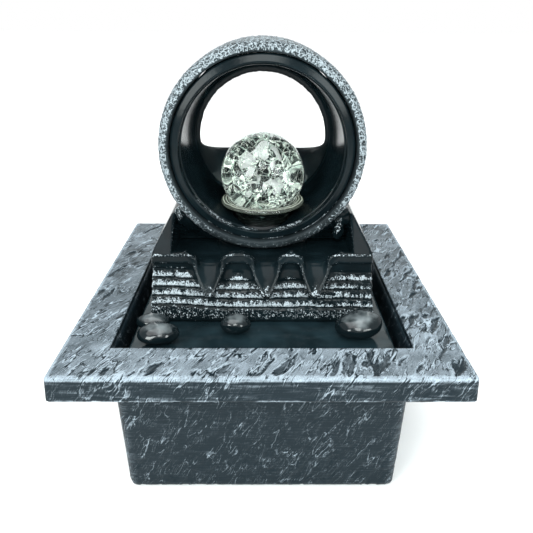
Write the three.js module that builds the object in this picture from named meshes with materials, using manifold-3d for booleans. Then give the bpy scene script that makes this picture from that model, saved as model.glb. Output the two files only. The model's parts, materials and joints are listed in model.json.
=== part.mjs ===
// A tabletop water fountain: a square tub with a wide slate rim holds the water and a small
// submersible pump. A lift-out top stands in the tub: a deck with pebbles, a brick block with
// three spouts, and a ring that holds a lit cup in which a crystal ball spins on the water.
// Millimetres, +Z up, the front faces -Y, origin on the table under the middle of the tub.
import * as THREE from "three";
import { mergeVertices } from "three/addons/utils/BufferGeometryUtils.js";
import Module from "manifold-3d";

const wasm = await Module();
wasm.setup();

// ---- Driving dimensions ----
const GAP = 0.3; // clearance kept between pieces that touch
const CUT = 6; // how far a cutting shape runs past what it cuts
const RIM_WIDTH = 210;
const RIM_TOP = 100;
const RIM_DEPTH = 14; // height of the rim's outer edge
const RIM_BORDER = 26; // width of the flat frame round the opening
const RIM_SKIN = 3;
const RIM_BEVEL = 1.5;
const TUB_BASE = 158;
const TUB_MOUTH = 161;
const TUB_WALL = 1.8;
const TUB_FLOOR = 2.5;
const TUB_CORNER = 5;
const TUB_LIFT = 1.5; // the feet hold the tub this far off the table
const POST_TOP = 82.7; // corner posts that carry the deck
const POST_WIDTH = 14;
const FLANGE_WIDTH = 190;
const DECK_WIDTH = 148;
const DECK_TOP = 89.5;
const DECK_SKIN = 2.5;
const BLOCK_BASE = 134;
const BLOCK_WIDTH = 126.4; // at the top
const BLOCK_TOP = 133;
const BLOCK_BACK = 45;
const BLOCK_FRONT = -33.7;
const BLOCK_WALL = 3;
const TROUGH_FLOOR = 127.3;
const TROUGH_HALF = 54.5; // half the trough's width
const SHOULDER_TOP = 148;
const SPOUTS = [-30.5, 1.8, 30.9]; // x of the middle of each spout
const SPOUT_WIDTH = 14.2;
const SPOUT_TIP = [-43.8, 113]; // y and z of the lowest point of the chute
const RING_RADIUS = 58.8;
const RING_CENTRE = 186.5;
const RING_FRONT = -18;
const RING_BACK = 36;
const BAND_INNER = 52.2; // inner radius of the rough outer band
const BOWL_MOUTH = 46.3; // inner radius of the smooth liner at its front
const BOWL_BACK = 44.5;
const BOWL_BACK_WALL = 2.8;
const WINDOW_RADIUS = 40.6;
const WINDOW_CENTRE = 185;
const WINDOW_SILL = 178.3;
const BALL_RADIUS = 25;
const BALL_CENTRE = [0, 5.5, 169];
const CUP_RADIUS = 25.5;
const LIGHT_RADIUS = 17.8;
const LIGHT_BASE = 128.5;
const TUBE_BORE = 2.8; // pump outlet and nozzle
const TUBE_RADIUS = 4;
const HOSE_RADIUS = 5.8;
const HOSE_BOTTOM = 48;
const PUMP_BASE = 9;
const PUMP_AXIS = 25.5; // height of the rotor's axis
const PUMP_HALF_WIDTH = 20;
const PUMP_REAR = 50.5;
const PUMP_HEIGHT = 34;
const INLET = [40, 72]; // x and z of the power inlet in the rear wall
const LEAD_RADIUS = 1.7;
const CONNECTOR = [27.5, 30]; // x and y of the light's plug and socket

// ---- Materials ----
const finish = (color, roughness, metalness = 0, opacity = 1) =>
  new THREE.MeshStandardMaterial({ color, roughness, metalness, opacity, transparent: opacity < 1 });
const materials = {
  slate: finish(0x5a636c, 0.6),
  blackResin: finish(0x12171a, 0.2),
  roughResin: finish(0x8a949c, 0.7),
  crystal: finish(0xd8e2da, 0.05, 0, 0.6),
  acrylic: finish(0xdfe6dc, 0.1, 0, 0.4),
  rubber: finish(0x1c1c1c, 0.9),
  pumpPlastic: finish(0x1b1e22, 0.45),
  cable: finish(0x15171a, 0.5),
  vinyl: finish(0xc9d4d6, 0.3, 0, 0.6),
  steel: finish(0xb8bcc0, 0.3, 1),
  copper: finish(0xa85a2a, 0.35, 1),
  ferrite: finish(0x35373a, 0.6, 0.2),
  ceramic: finish(0xe8e6df, 0.4),
  epoxy: finish(0x202326, 0.3),
  foam: finish(0x2b2f33, 0.95),
  board: finish(0x1f5a3a, 0.5),
  led: finish(0xf4edc0, 0.3),
};

// ---- Solids ----
// A closed three.js geometry as a solid, with its faces turned outwards.
function solid(geometry) {
  const bare = geometry.clone();
  bare.deleteAttribute("normal");
  bare.deleteAttribute("uv");
  const merged = mergeVertices(bare, 1e-4);
  const vertProperties = new Float32Array(merged.attributes.position.array);
  const triVerts = new Uint32Array(merged.index.array);
  const made = new wasm.Manifold(new wasm.Mesh({ numProp: 3, vertProperties, triVerts }));
  if (made.volume() > 0) return made;
  for (let i = 0; i < triVerts.length; i += 3) {
    [triVerts[i + 1], triVerts[i + 2]] = [triVerts[i + 2], triVerts[i + 1]];
  }
  return new wasm.Manifold(new wasm.Mesh({ numProp: 3, vertProperties, triVerts }));
}

const group = new THREE.Group();

// Adds a solid to the model as a named mesh.
function add(name, material, body) {
  const mesh = body.getMesh();
  const geometry = new THREE.BufferGeometry();
  geometry.setAttribute("position", new THREE.BufferAttribute(new Float32Array(mesh.vertProperties), 3));
  geometry.setIndex(new THREE.BufferAttribute(new Uint32Array(mesh.triVerts), 1));
  geometry.computeVertexNormals();
  const made = new THREE.Mesh(geometry, material);
  made.name = name;
  group.add(made);
}

// A box between two corners.
function box(low, high) {
  const size = high.map((h, i) => h - low[i]);
  const middle = high.map((h, i) => (h + low[i]) / 2);
  return solid(new THREE.BoxGeometry(...size).translate(...middle));
}

// A rod along Z from z0 to z1.
function rodZ(radius, z0, z1, x = 0, y = 0, sides = 16) {
  const rod = new THREE.CylinderGeometry(radius, radius, z1 - z0, sides);
  return solid(rod.rotateX(Math.PI / 2).translate(x, y, (z0 + z1) / 2));
}

// A rod along Y from y0 to y1.
function rodY(radius, y0, y1, x = 0, z = 0, sides = 16) {
  return solid(new THREE.CylinderGeometry(radius, radius, y1 - y0, sides).translate(x, (y0 + y1) / 2, z));
}

// A profile of [radius, height] points, closed on itself or on the axis, turned about Z.
function turnedZ(profile, x = 0, y = 0, sides = 24) {
  const points = profile.map(([r, z]) => new THREE.Vector2(r, z));
  if (profile.every(([r]) => r > 0)) points.push(points[0].clone());
  return solid(new THREE.LatheGeometry(points, sides).rotateX(Math.PI / 2).translate(x, y, 0));
}

// A profile of [radius, y] points turned about an axis along Y at height z.
function turnedY(profile, z, sides = 48) {
  const points = profile.map(([r, y]) => new THREE.Vector2(r, y));
  if (profile.every(([r]) => r > 0)) points.push(points[0].clone());
  return solid(new THREE.LatheGeometry(points, sides).translate(0, 0, z));
}

function roundedSquare(width, radius) {
  const h = width / 2 - radius;
  const shape = new THREE.Shape();
  shape.absarc(h, h, radius, 0, Math.PI / 2);
  shape.absarc(-h, h, radius, Math.PI / 2, Math.PI);
  shape.absarc(-h, -h, radius, Math.PI, 1.5 * Math.PI);
  shape.absarc(h, -h, radius, 1.5 * Math.PI, 2 * Math.PI);
  return shape;
}

// A square column whose width changes from bottom to top.
function column(bottomWidth, topWidth, z0, z1, radius) {
  const flat = new THREE.ExtrudeGeometry(roundedSquare(bottomWidth, radius), {
    depth: z1 - z0,
    bevelEnabled: false,
    curveSegments: 4,
  });
  const position = flat.attributes.position;
  for (let i = 0; i < position.count; i++) {
    const grow = 1 + (topWidth / bottomWidth - 1) * (position.getZ(i) / (z1 - z0));
    position.setXYZ(i, position.getX(i) * grow, position.getY(i) * grow, position.getZ(i) + z0);
  }
  return solid(flat);
}

// A [y, z] outline extruded along X, from x0 to x1.
function slabX(outline, x0, x1) {
  const shape = new THREE.Shape(outline.map(([y, z]) => new THREE.Vector2(y, z)));
  const flat = new THREE.ExtrudeGeometry(shape, { depth: x1 - x0, bevelEnabled: false });
  return solid(flat.applyMatrix4(new THREE.Matrix4().set(0, 0, 1, x0, 1, 0, 0, 0, 0, 1, 0, 0, 0, 0, 0, 1)));
}

// An [x, y] outline extruded along Z, from z0 to z1.
function slabZ(outline, z0, z1) {
  const shape = new THREE.Shape(outline.map(([x, y]) => new THREE.Vector2(x, y)));
  return solid(new THREE.ExtrudeGeometry(shape, { depth: z1 - z0, bevelEnabled: false }).translate(0, 0, z0));
}

// A round lead along a smooth curve through points.
function lead(points, radius = LEAD_RADIUS) {
  const curve = new THREE.CatmullRomCurve3(points.map((p) => new THREE.Vector3(...p)));
  const ring = new THREE.Shape();
  ring.absarc(0, 0, radius, 0, 2 * Math.PI);
  const steps = Math.ceil(curve.getLength() / (2.5 * 2 * radius));
  return solid(
    new THREE.ExtrudeGeometry(ring, { steps, extrudePath: curve, curveSegments: 4, bevelEnabled: false }),
  );
}

// ---- Basin ----
function basinTub() {
  const top = 94.7;
  const flangeTop = 96.7;
  const inside = TUB_BASE - 2 * TUB_WALL;
  const mouth = TUB_MOUTH - 2 * TUB_WALL;
  let cavity = column(inside, mouth, TUB_LIFT + TUB_FLOOR, flangeTop + CUT, TUB_CORNER - TUB_WALL);
  const inner = inside / 2 - POST_WIDTH + 2;
  for (const [sx, sy] of corners) {
    const low = [Math.min(sx * inner, sx * RIM_WIDTH), Math.min(sy * inner, sy * RIM_WIDTH), 0];
    const high = [Math.max(sx * inner, sx * RIM_WIDTH), Math.max(sy * inner, sy * RIM_WIDTH), POST_TOP];
    cavity = cavity.subtract(box(low, high));
  }
  const shell = column(TUB_BASE, TUB_MOUTH, TUB_LIFT, top, TUB_CORNER);
  const flange = column(FLANGE_WIDTH, FLANGE_WIDTH, top - 0.01, flangeTop, TUB_CORNER);
  const inletHole = rodY(6.2, TUB_BASE / 2 - CUT, TUB_MOUTH / 2 + CUT, INLET[0], INLET[1]);
  return shell.add(flange).subtract(cavity).subtract(inletHole);
}

function rimFrame() {
  const half = RIM_WIDTH / 2;
  const outline = roundedSquare(RIM_WIDTH - 2 * RIM_BEVEL, RIM_BEVEL);
  const slab = new THREE.ExtrudeGeometry(outline, {
    depth: RIM_DEPTH - 2 * RIM_BEVEL,
    bevelThickness: RIM_BEVEL,
    bevelSize: RIM_BEVEL,
    bevelSegments: 2,
    curveSegments: 3,
  }).translate(0, 0, RIM_TOP - RIM_DEPTH + RIM_BEVEL);
  const inside = half - RIM_SKIN;
  const below = box([-inside, -inside, 0], [inside, inside, RIM_TOP - RIM_SKIN]);
  const opening = half - RIM_BORDER;
  const hole = box([-opening, -opening, 0], [opening, opening, RIM_TOP + CUT]);
  return solid(slab).subtract(below).subtract(hole);
}

const corners = [
  [-1, -1, "front_left"],
  [1, -1, "front_right"],
  [-1, 1, "rear_left"],
  [1, 1, "rear_right"],
];

function basin() {
  add("basin_tub", materials.slate, basinTub());
  add("rim_frame", materials.slate, rimFrame());
  const place = TUB_BASE / 2 - 14;
  for (const [sx, sy, where] of corners) {
    add(`foot_${where}`, materials.rubber, rodZ(8, 0, TUB_LIFT - GAP, sx * place, sy * place));
  }
}

// ---- Power inlet in the rear wall, and its leads ----
function powerInlet() {
  const [x, z] = INLET;
  const wallOut = 80.3;
  const wallIn = 78.2;
  const flange = rodY(8.6, wallOut + 1.6, wallOut + 3.6, x, z);
  const barrel = rodY(5.8, 66, wallOut + 3, x, z);
  const boot = box([x - 6, 60, z - 4], [x + 6, 67, z + 4]);
  const socket = rodY(2.9, wallOut - 6, wallOut + CUT, x, z);
  const pin = rodY(1, wallOut - 7, wallOut + 2, x, z, 12);
  add("power_inlet", materials.pumpPlastic, flange.add(barrel).add(boot).subtract(socket).add(pin));
  const seal = rodY(8.6, wallOut + GAP, wallOut + 1.3, x, z).subtract(rodY(6.2, 60, 100, x, z));
  add("inlet_seal", materials.rubber, seal);
  const nut = rodY(8.4, wallIn - 3.4, wallIn - GAP, x, z, 6).subtract(rodY(6.15, 60, 100, x, z));
  add("inlet_nut", materials.steel, nut);
}

function lowerLeads() {
  const [x, z] = INLET;
  const [cx, cy] = CONNECTOR;
  const start = 59.2;
  add(
    "pump_lead",
    materials.cable,
    lead([
      [x - 2.4, start, z],
      [x - 2.4, 56, z - 1.2],
      [x - 2.7, 53.6, z - 6],
      [x - 3.2, 53, z - 18],
      [x - 3.6, 53, z - 30],
      [x - 4.2, 53, z - 42],
      [x - 5.4, 52, z - 51],
      [x - 9, 49, z - 56.4],
      [x - 13, 45.8, z - 57],
      [25.1, 44.4, 15],
    ]),
  );
  add(
    "light_lead_lower",
    materials.cable,
    lead([
      [x + 2.8, start, z],
      [x + 2.8, 56.5, z - 0.8],
      [x + 3.4, 54.6, z - 6],
      [x + 4, 53.5, z - 16],
      [x + 4, 52, z - 30],
      [x + 3, 48, z - 44],
      [x - 1, 42, z - 53],
      [x - 6.5, 36, z - 56],
      [cx + 1.4, cy + 1.8, 17.4],
      [cx, cy, 21.4],
      [cx, cy, 26.6],
    ]),
  );
}

// ---- Pump ----
function pumpBody() {
  const w = PUMP_HALF_WIDTH;
  const top = PUMP_BASE + PUMP_HEIGHT;
  const axis = PUMP_AXIS;
  const motor = box([-w, 10, PUMP_BASE], [w, PUMP_REAR, top]);
  const head = box([-17.5, 0, PUMP_BASE], [17.5, 10.5, top - 1]);
  const [tx, ty] = BALL_CENTRE;
  const outlet = rodZ(TUBE_RADIUS, top - 4, 56, tx, ty).add(rodZ(5.2, top - 4, top + 2, tx, ty));
  const gland = solid(new THREE.CylinderGeometry(3, 3, 4.6, 16).rotateZ(Math.PI / 2).translate(21.4, 44.3, 15));
  const [cx, cy] = CONNECTOR;
  const ear = box([w - 1, cy - 5, 30], [cx + 5.5, cy + 5, 33]).subtract(rodZ(3.4, 20, 40, cx, cy));
  const chamber = rodY(13, -CUT, 10, 0, axis, 32);
  const well = rodY(8.4, 0, 34, 0, axis);
  const bushSeat = rodY(2.6, 33, 37, 0, axis, 16);
  const bore = rodZ(TUBE_BORE, axis + 5, 60, tx, ty, 16);
  const coilRoom = box([-17, 39, axis - 12.5], [17, PUMP_REAR + CUT, axis + 12.5]);
  const legRoom = (s) => box([Math.min(s * 10.2, s * 16.8), 14, axis - 8], [Math.max(s * 10.2, s * 16.8), 40, axis + 8]);
  return motor
    .add(head)
    .add(outlet)
    .add(gland)
    .add(ear)
    .subtract(chamber)
    .subtract(well)
    .subtract(bushSeat)
    .subtract(bore)
    .subtract(coilRoom)
    .subtract(legRoom(1))
    .subtract(legRoom(-1));
}

function pumpMotor() {
  const axis = PUMP_AXIS;
  const z0 = axis - 7.5;
  const z1 = axis + 7.5;
  const legs = box([-16.5, 14.5, z0], [-10.5, 46.5, z1]).add(box([10.5, 14.5, z0], [16.5, 46.5, z1]));
  add("stator_core", materials.steel, legs.add(box([-16, 41, z0], [16, 46.5, z1])));
  const window = box([-20, 40.6, z0 - 0.4], [20, 46.9, z1 + 0.4]);
  add("stator_coil", materials.copper, box([-9.5, 39.4, axis - 11], [9.5, 48, axis + 11]).subtract(window));
  add("potting_plug", materials.epoxy, box([-16.6, 48.4, axis - 12.1], [16.6, PUMP_REAR, axis + 12.1]));
}

function pumpRotor() {
  const axis = PUMP_AXIS;
  let rotor = rodY(7.6, 11, 33, 0, axis).add(rodY(4.4, 9, 11.5, 0, axis));
  rotor = rotor.add(rodY(11.5, 8.2, 9.4, 0, axis, 32)).add(rodY(3.4, 2.7, 9, 0, axis, 16));
  const blades = 5;
  for (let i = 0; i < blades; i++) {
    const blade = new THREE.BoxGeometry(8.4, 5.6, 1.2).translate(7, 5.6, 0);
    rotor = rotor.add(solid(blade.rotateY((i * 2 * Math.PI) / blades).translate(0, 0, axis)));
  }
  add("pump_rotor", materials.ferrite, rotor.subtract(rodY(1.4, 0, 40, 0, axis, 16)));
  add("pump_shaft", materials.ceramic, rodY(1.1, -0.9, 36.6, 0, axis, 12));
  const bush = (y0, y1) => rodY(2.3, y0, y1, 0, axis, 16).subtract(rodY(1.4, -CUT, 50, 0, axis, 16));
  add("shaft_bush_front", materials.rubber, bush(-1, 2));
  add("shaft_bush_rear", materials.rubber, bush(34.3, 36.7));
}

function pumpFront() {
  const axis = PUMP_AXIS;
  const zMiddle = (z) => z + axis;
  let cover = box([-16.4, -2.8, zMiddle(-14)], [16.4, -GAP, zMiddle(14)]).add(rodY(3.6, -1, 2.2, 0, axis, 24));
  cover = cover.subtract(rodY(2.6, -1.4, CUT, 0, axis, 16));
  const ports = 4;
  for (let i = 0; i < ports; i++) {
    const angle = ((i + 0.5) * 2 * Math.PI) / ports;
    cover = cover.subtract(rodY(2.4, -CUT, CUT, 6.8 * Math.cos(angle), axis + 6.8 * Math.sin(angle), 12));
  }
  add("volute_cover", materials.pumpPlastic, cover);
  add("filter_sponge", materials.foam, box([-15.8, -9.5, zMiddle(-13.4)], [15.8, -3.2, zMiddle(13.4)]));

  const shell = box([-18.5, -12, zMiddle(-16.2)], [18.5, -GAP, zMiddle(16)]);
  const room = box([-17, -10.5, zMiddle(-14.6)], [17, CUT, zMiddle(14.5)]);
  let grille = shell.subtract(room).subtract(rodY(2.2, -20, 0, 0, axis, 16));
  for (let i = -3; i <= 3; i++) {
    const x = i * 4.6;
    if (i) grille = grille.subtract(box([x - 1.1, -20, zMiddle(-11)], [x + 1.1, -5, zMiddle(11)]));
  }
  add("pump_grille", materials.pumpPlastic, grille);

  let dial = rodY(9, -14.3, -12.3, 0, axis, 32).add(rodY(1.8, -13, -9.9, 0, axis, 16));
  dial = dial.add(box([-1, -16, zMiddle(-7.5)], [1, -14, zMiddle(7.5)]));
  for (const s of [-1, 1]) dial = dial.subtract(rodY(2.2, -20, -5, s * 5.2, axis, 16));
  add("flow_dial", materials.pumpPlastic, dial);
}

function suctionCups() {
  const floor = TUB_LIFT + TUB_FLOOR + GAP;
  const profile = [
    [0, floor],
    [6.8, floor],
    [6.8, floor + 0.6],
    [3, floor + 2.2],
    [2.2, PUMP_BASE - GAP],
    [0, PUMP_BASE - GAP],
  ];
  for (const [sx, sy, where] of corners) {
    const y = sy < 0 ? 9 : 41;
    add(`suction_cup_${where}`, materials.rubber, turnedZ(profile, sx * 12, y, 16));
  }
}

function lightSocket() {
  const [x, y] = CONNECTOR;
  add("light_socket", materials.pumpPlastic, rodZ(5, 33.3, 48, x, y, 20).add(rodZ(2.9, 26.9, 34, x, y, 20)));
}

// ---- Lift-out top: deck and block ----
const SCREW_PLACES = [
  [-57, -24],
  [57, -24],
  [-57, 37],
  [57, 37],
];

function deck() {
  const half = DECK_WIDTH / 2;
  const under = DECK_TOP - DECK_SKIN;
  let plate = column(DECK_WIDTH, DECK_WIDTH, 83, DECK_TOP, 4);
  plate = plate.subtract(box([2 - half, 2 - half, 0], [half - 2, half - 2, under]));
  plate = plate.subtract(box([-50, -19, 0], [50, 34, RIM_TOP]));
  for (let i = -2; i <= 2; i++) plate = plate.subtract(box([i * 22 - 7, 58, 0], [i * 22 + 7, 61.5, RIM_TOP]));
  for (const [x, y] of SCREW_PLACES) plate = plate.subtract(rodZ(1.9, 80, RIM_TOP, x, y, 12));
  return plate;
}

// Narrows a shape from the block's base width to its top width.
function drafted(body, baseWidth, topWidth) {
  return body.warp((v) => {
    const rise = (v[2] - DECK_TOP) / (BLOCK_TOP - DECK_TOP);
    v[0] *= 1 + (topWidth / baseWidth - 1) * rise;
  });
}

function spout(x) {
  const [tipY, tipZ] = SPOUT_TIP;
  const w = SPOUT_WIDTH / 2;
  const beak = slabZ(
    [[x - w - 2, -30], [x - 3.6, tipY], [x + 3.6, tipY], [x + w + 2, -30]], 95, 140,
  );
  const side = slabX(
    [[-29.6, 102], [tipY, tipZ - 2.4], [tipY, tipZ + 2.2], [BLOCK_FRONT, 129], [-29.6, 131]], x - 20, x + 20,
  );
  return beak.intersect(side);
}

function chute(x) {
  const [tipY, tipZ] = SPOUT_TIP;
  const w = SPOUT_WIDTH / 2;
  const channel = slabZ(
    [[x - w, -26], [x - w, BLOCK_FRONT], [x - 1.9, tipY - 2], [x + 1.9, tipY - 2], [x + w, BLOCK_FRONT], [x + w, -26]],
    95,
    160,
  );
  const floor = slabX(
    [[-26, TROUGH_FLOOR], [-31, TROUGH_FLOOR - 1], [tipY - 2, tipZ - 1.9], [tipY - 2, 160], [-26, 160]], x - 20, x + 20,
  );
  return channel.intersect(floor);
}

// One of the two roof-like shoulders beside the trough. side is -1 on the left and 1 on the right.
function shoulder(side) {
  const foot = BLOCK_TOP - 0.5;
  const outer = BLOCK_WIDTH / 2;
  const profile = [[BLOCK_FRONT + 0.6, foot], [-5, SHOULDER_TOP], [RING_BACK, SHOULDER_TOP], [BLOCK_BACK, foot]];
  const low = Math.min(side * TROUGH_HALF, side * outer);
  const slope = slabX(profile, low, low + outer - TROUGH_HALF);
  const section = [[TROUGH_HALF, foot - CUT], [outer, foot - CUT], [outer, foot], [TROUGH_HALF, SHOULDER_TOP]];
  const shape = new THREE.Shape(section.map(([x, z]) => new THREE.Vector2(side * x, -z)));
  const prism = new THREE.ExtrudeGeometry(shape, { depth: 120, bevelEnabled: false });
  return slope.intersect(solid(prism.rotateX(-Math.PI / 2).scale(1, -1, 1).translate(0, 60, 0)));
}

function waterfallBlock() {
  const base = DECK_TOP + GAP;
  const half = BLOCK_BASE / 2;
  const outline = [
    [-36.2, base],
    [-31.2, 121],
    [BLOCK_FRONT, 128.5],
    [BLOCK_FRONT + 0.5, BLOCK_TOP],
    [BLOCK_BACK, BLOCK_TOP],
    [BLOCK_BACK + 2.5, base],
  ];
  const ceiling = TROUGH_FLOOR - BLOCK_WALL;
  let cavity = box([-half + 4, -28, 60], [half - 4, BLOCK_BACK - 2, ceiling]);
  for (const [x, y] of SCREW_PLACES) {
    const sx = Math.sign(x);
    const low = [Math.min(x - 5 * sx, sx * half), Math.min(y - 5 * Math.sign(y), y + 12 * Math.sign(y)), 60];
    const high = [Math.max(x - 5 * sx, sx * half), Math.max(y - 5 * Math.sign(y), y + 12 * Math.sign(y)), 108];
    cavity = cavity.subtract(box(low, high));
  }
  let block = drafted(slabX(outline, -half, half).subtract(cavity), BLOCK_BASE, BLOCK_WIDTH);
  const trough = box([-TROUGH_HALF, -28.5, TROUGH_FLOOR], [TROUGH_HALF, BLOCK_BACK - 4, BLOCK_TOP + CUT]);
  block = block.subtract(trough).add(shoulder(-1)).add(shoulder(1));
  for (const x of SPOUTS) block = block.add(spout(x)).subtract(chute(x));
  block = block.subtract(rodZ(13, 110, 140, BALL_CENTRE[0], BALL_CENTRE[1]));
  for (const [x, y] of SCREW_PLACES) block = block.subtract(rodZ(1.8, 60, 100, x, y, 12));
  for (const x of [-7, 7]) block = block.subtract(rodZ(1.9, 110, 140, x, 30, 12));
  return block;
}

function screw(name, x, y, under, top) {
  const head = rodZ(3, under - 1.9, under - GAP, x, y, 16);
  add(name, materials.steel, head.add(rodZ(1.4, under - 1, top, x, y, 12)));
}

function screws() {
  SCREW_PLACES.forEach(([x, y], i) => {
    screw(`deck_screw_${corners[i][2]}`, x, y, DECK_TOP - DECK_SKIN, 99);
  });
  screw("ring_screw_left", -7, 30, TROUGH_FLOOR - BLOCK_WALL, 132.4);
  screw("ring_screw_right", 7, 30, TROUGH_FLOOR - BLOCK_WALL, 132.4);
}

// ---- Ring, liner and rocks ----
function ringShell() {
  const band = turnedY(
    [
      [BAND_INNER + GAP, RING_FRONT + 0.8],
      [BAND_INNER + 1.6, RING_FRONT],
      [RING_RADIUS - 2.2, RING_FRONT + 0.5],
      [RING_RADIUS, RING_FRONT + 3.5],
      [RING_RADIUS, RING_BACK - 2.5],
      [RING_RADIUS - 1.6, RING_BACK],
      [BAND_INNER + GAP, RING_BACK],
    ],
    RING_CENTRE,
  );
  let shell = band.subtract(rodZ(LIGHT_RADIUS + 0.5, 110, RING_CENTRE, BALL_CENTRE[0], BALL_CENTRE[1], 32));
  for (const x of [-7, 7]) shell = shell.subtract(rodZ(1.75, 110, 133, x, 30, 12));
  return shell;
}

function ringLiner() {
  const wall = BOWL_BACK_WALL;
  const seat = BAND_INNER - 0.1;
  const inside = RING_BACK - wall;
  const shell = turnedY(
    [
      [0, RING_BACK],
      [seat, RING_BACK],
      [seat, RING_BACK - 3],
      [BOWL_BACK + wall, RING_BACK - 5],
      [BOWL_MOUTH + wall, RING_FRONT + 8],
      [seat, RING_FRONT + 6],
      [seat, RING_FRONT + 2],
      [BOWL_MOUTH, RING_FRONT + 4.2],
      [BOWL_BACK, inside - 10],
      [BOWL_BACK - 1.6, inside - 4],
      [BOWL_BACK - 5, inside],
      [0, inside],
    ],
    RING_CENTRE,
  );
  // The window is round above and has a flat sill with small round corners.
  const reach = Math.sqrt(WINDOW_RADIUS ** 2 - (WINDOW_SILL - WINDOW_CENTRE) ** 2);
  const corner = 5;
  const start = Math.asin((WINDOW_SILL + corner - WINDOW_CENTRE) / WINDOW_RADIUS);
  const shape = new THREE.Shape();
  shape.moveTo(-reach + corner, WINDOW_SILL - WINDOW_CENTRE);
  shape.lineTo(reach - corner, WINDOW_SILL - WINDOW_CENTRE);
  shape.absarc(0, 0, WINDOW_RADIUS, start, Math.PI - start);
  const plug = new THREE.ExtrudeGeometry(shape, { depth: 30, bevelEnabled: false, curveSegments: 20 });
  const window = solid(plug.rotateX(Math.PI / 2).translate(0, inside + 20, WINDOW_CENTRE));
  const lightHole = rodZ(LIGHT_RADIUS + GAP, 110, RING_CENTRE - 20, BALL_CENTRE[0], BALL_CENTRE[1], 32);
  return shell.subtract(window).subtract(lightHole);
}

// One of the two rocks that cradle the ring. side is -1 on the left and 1 on the right.
function rock(side) {
  const outline = [
    [28, TROUGH_FLOOR + GAP],
    [TROUGH_HALF - GAP, TROUGH_FLOOR + GAP],
    [TROUGH_HALF - GAP, SHOULDER_TOP],
    [50.5, 153],
    [44, 153],
    [28, 135],
  ].map(([x, z]) => [side * x, z]);
  const shape = new THREE.Shape(outline.map(([x, z]) => new THREE.Vector2(x, -z)));
  const block = new THREE.ExtrudeGeometry(shape, { depth: 42, bevelEnabled: false });
  const body = solid(block.rotateX(-Math.PI / 2).scale(1, -1, 1).translate(0, 34, 0));
  return body.subtract(rodY(RING_RADIUS + 0.5, RING_FRONT - CUT, RING_BACK + CUT, 0, RING_CENTRE, 48));
}

// Pebbles: name, centre x and y, half-width, half-depth and height.
const PEBBLES = [
  ["pebble_front_left", -58, -59, 12, 8.8, 12.5],
  ["pebble_rear_left", -63.6, -43.7, 9.6, 6.1, 9.5],
  ["pebble_middle", -15.3, -48, 8.8, 7.6, 11.5],
  ["pebble_right", 54.5, -51.5, 13.4, 11, 15],
];

function pebble(x, y, halfWidth, halfDepth, height) {
  const ball = new THREE.SphereGeometry(1, 14, 9).rotateX(Math.PI / 2);
  const egg = solid(ball.scale(halfWidth, halfDepth, height * 0.62).translate(x, y, DECK_TOP + height * 0.38));
  return egg.subtract(box([x - 30, y - 30, 0], [x + 30, y + 30, DECK_TOP + GAP]));
}

// ---- Light, cup, ball and water path ----
function lightUnit() {
  const [x, y] = BALL_CENTRE;
  const r = LIGHT_RADIUS;
  const z = LIGHT_BASE;
  const housing = turnedZ(
    [
      [4.4, z], [r, z], [r, z + 12.5], [r - 1.5, z + 12.5], [r - 1.5, z + 8.3],
      [r - 3.6, z + 8.3], [r - 3.6, z + 2], [4.4, z + 2],
    ],
    x,
    y,
  );
  add("light_housing", materials.pumpPlastic, housing.subtract(rodZ(2.1, z - CUT, z + CUT, x + 9, y + 4.5, 16)));
  const ring = (inner, outer, z0, z1) => rodZ(outer, z0, z1, x, y, 32).subtract(rodZ(inner, z0 - 1, z1 + 1, x, y));
  add("light_board", materials.board, ring(5.2, r - 4, z + 2.3, z + 3.9));
  const leds = ["front", "right", "rear", "left"];
  leds.forEach((where, i) => {
    const angle = ((i - 1) * Math.PI) / 2;
    const cx = x + 9.6 * Math.cos(angle);
    const cy = y + 9.6 * Math.sin(angle);
    add(`led_${where}`, materials.led, box([cx - 1.75, cy - 1.75, z + 4.2], [cx + 1.75, cy + 1.75, z + 6]));
  });
  add("light_seal", materials.rubber, ring(r - 3.4, r - 1.8, z + 8.6, z + 10.1));
}

function ballCup() {
  const [x, y, centre] = BALL_CENTRE;
  const seat = BALL_RADIUS + 0.6;
  const inner = (r) => [r, centre - Math.sqrt(seat ** 2 - r ** 2)];
  const floor = 142.2;
  const rim = 153.6;
  const profile = [
    ...[4.3, 8, 12, 16, 19].map(inner),
    [20.6, rim],
    [22.6, rim + 0.6],
    [24.6, rim + 0.2],
    [CUP_RADIUS, rim - 1],
    [CUP_RADIUS - 0.5, rim - 2],
    [20.6, rim - 3.6],
    [18, rim - 6.6],
    [15.9, 143],
    [15.9, 138.9],
    [14.4, 138.9],
    [14.4, floor],
    [4.3, floor],
  ];
  return turnedZ(profile, x, y, 24);
}

function waterPath() {
  const [x, y] = BALL_CENTRE;
  const tube = (inner, outer, z0, z1) => rodZ(outer, z0, z1, x, y).subtract(rodZ(inner, z0 - 1, z1 + 1, x, y));
  add("water_nozzle", materials.acrylic, tube(TUBE_BORE, TUBE_RADIUS, 118, 143.2));
  add("water_hose", materials.vinyl, tube(TUBE_RADIUS + GAP, HOSE_RADIUS, HOSE_BOTTOM, 127));
}

function upperLead() {
  const [x, y] = CONNECTOR;
  add("light_plug", materials.pumpPlastic, rodZ(5, 48.3, 60, x, y, 20).add(rodZ(3, 59, 64, x, y, 20)));
  const [bx, by] = BALL_CENTRE;
  add(
    "light_lead_upper",
    materials.cable,
    lead([
      [x, y, 64.3],
      [x, y, 74],
      [x - 1.5, y - 1, 86],
      [x - 6, y - 4.5, 98],
      [x - 12, y - 10.5, 108],
      [bx + 11, by + 6.5, 116],
      [bx + 9.2, by + 4.7, 123],
      [bx + 9, by + 4.5, 130.2],
    ]),
  );
}

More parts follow.
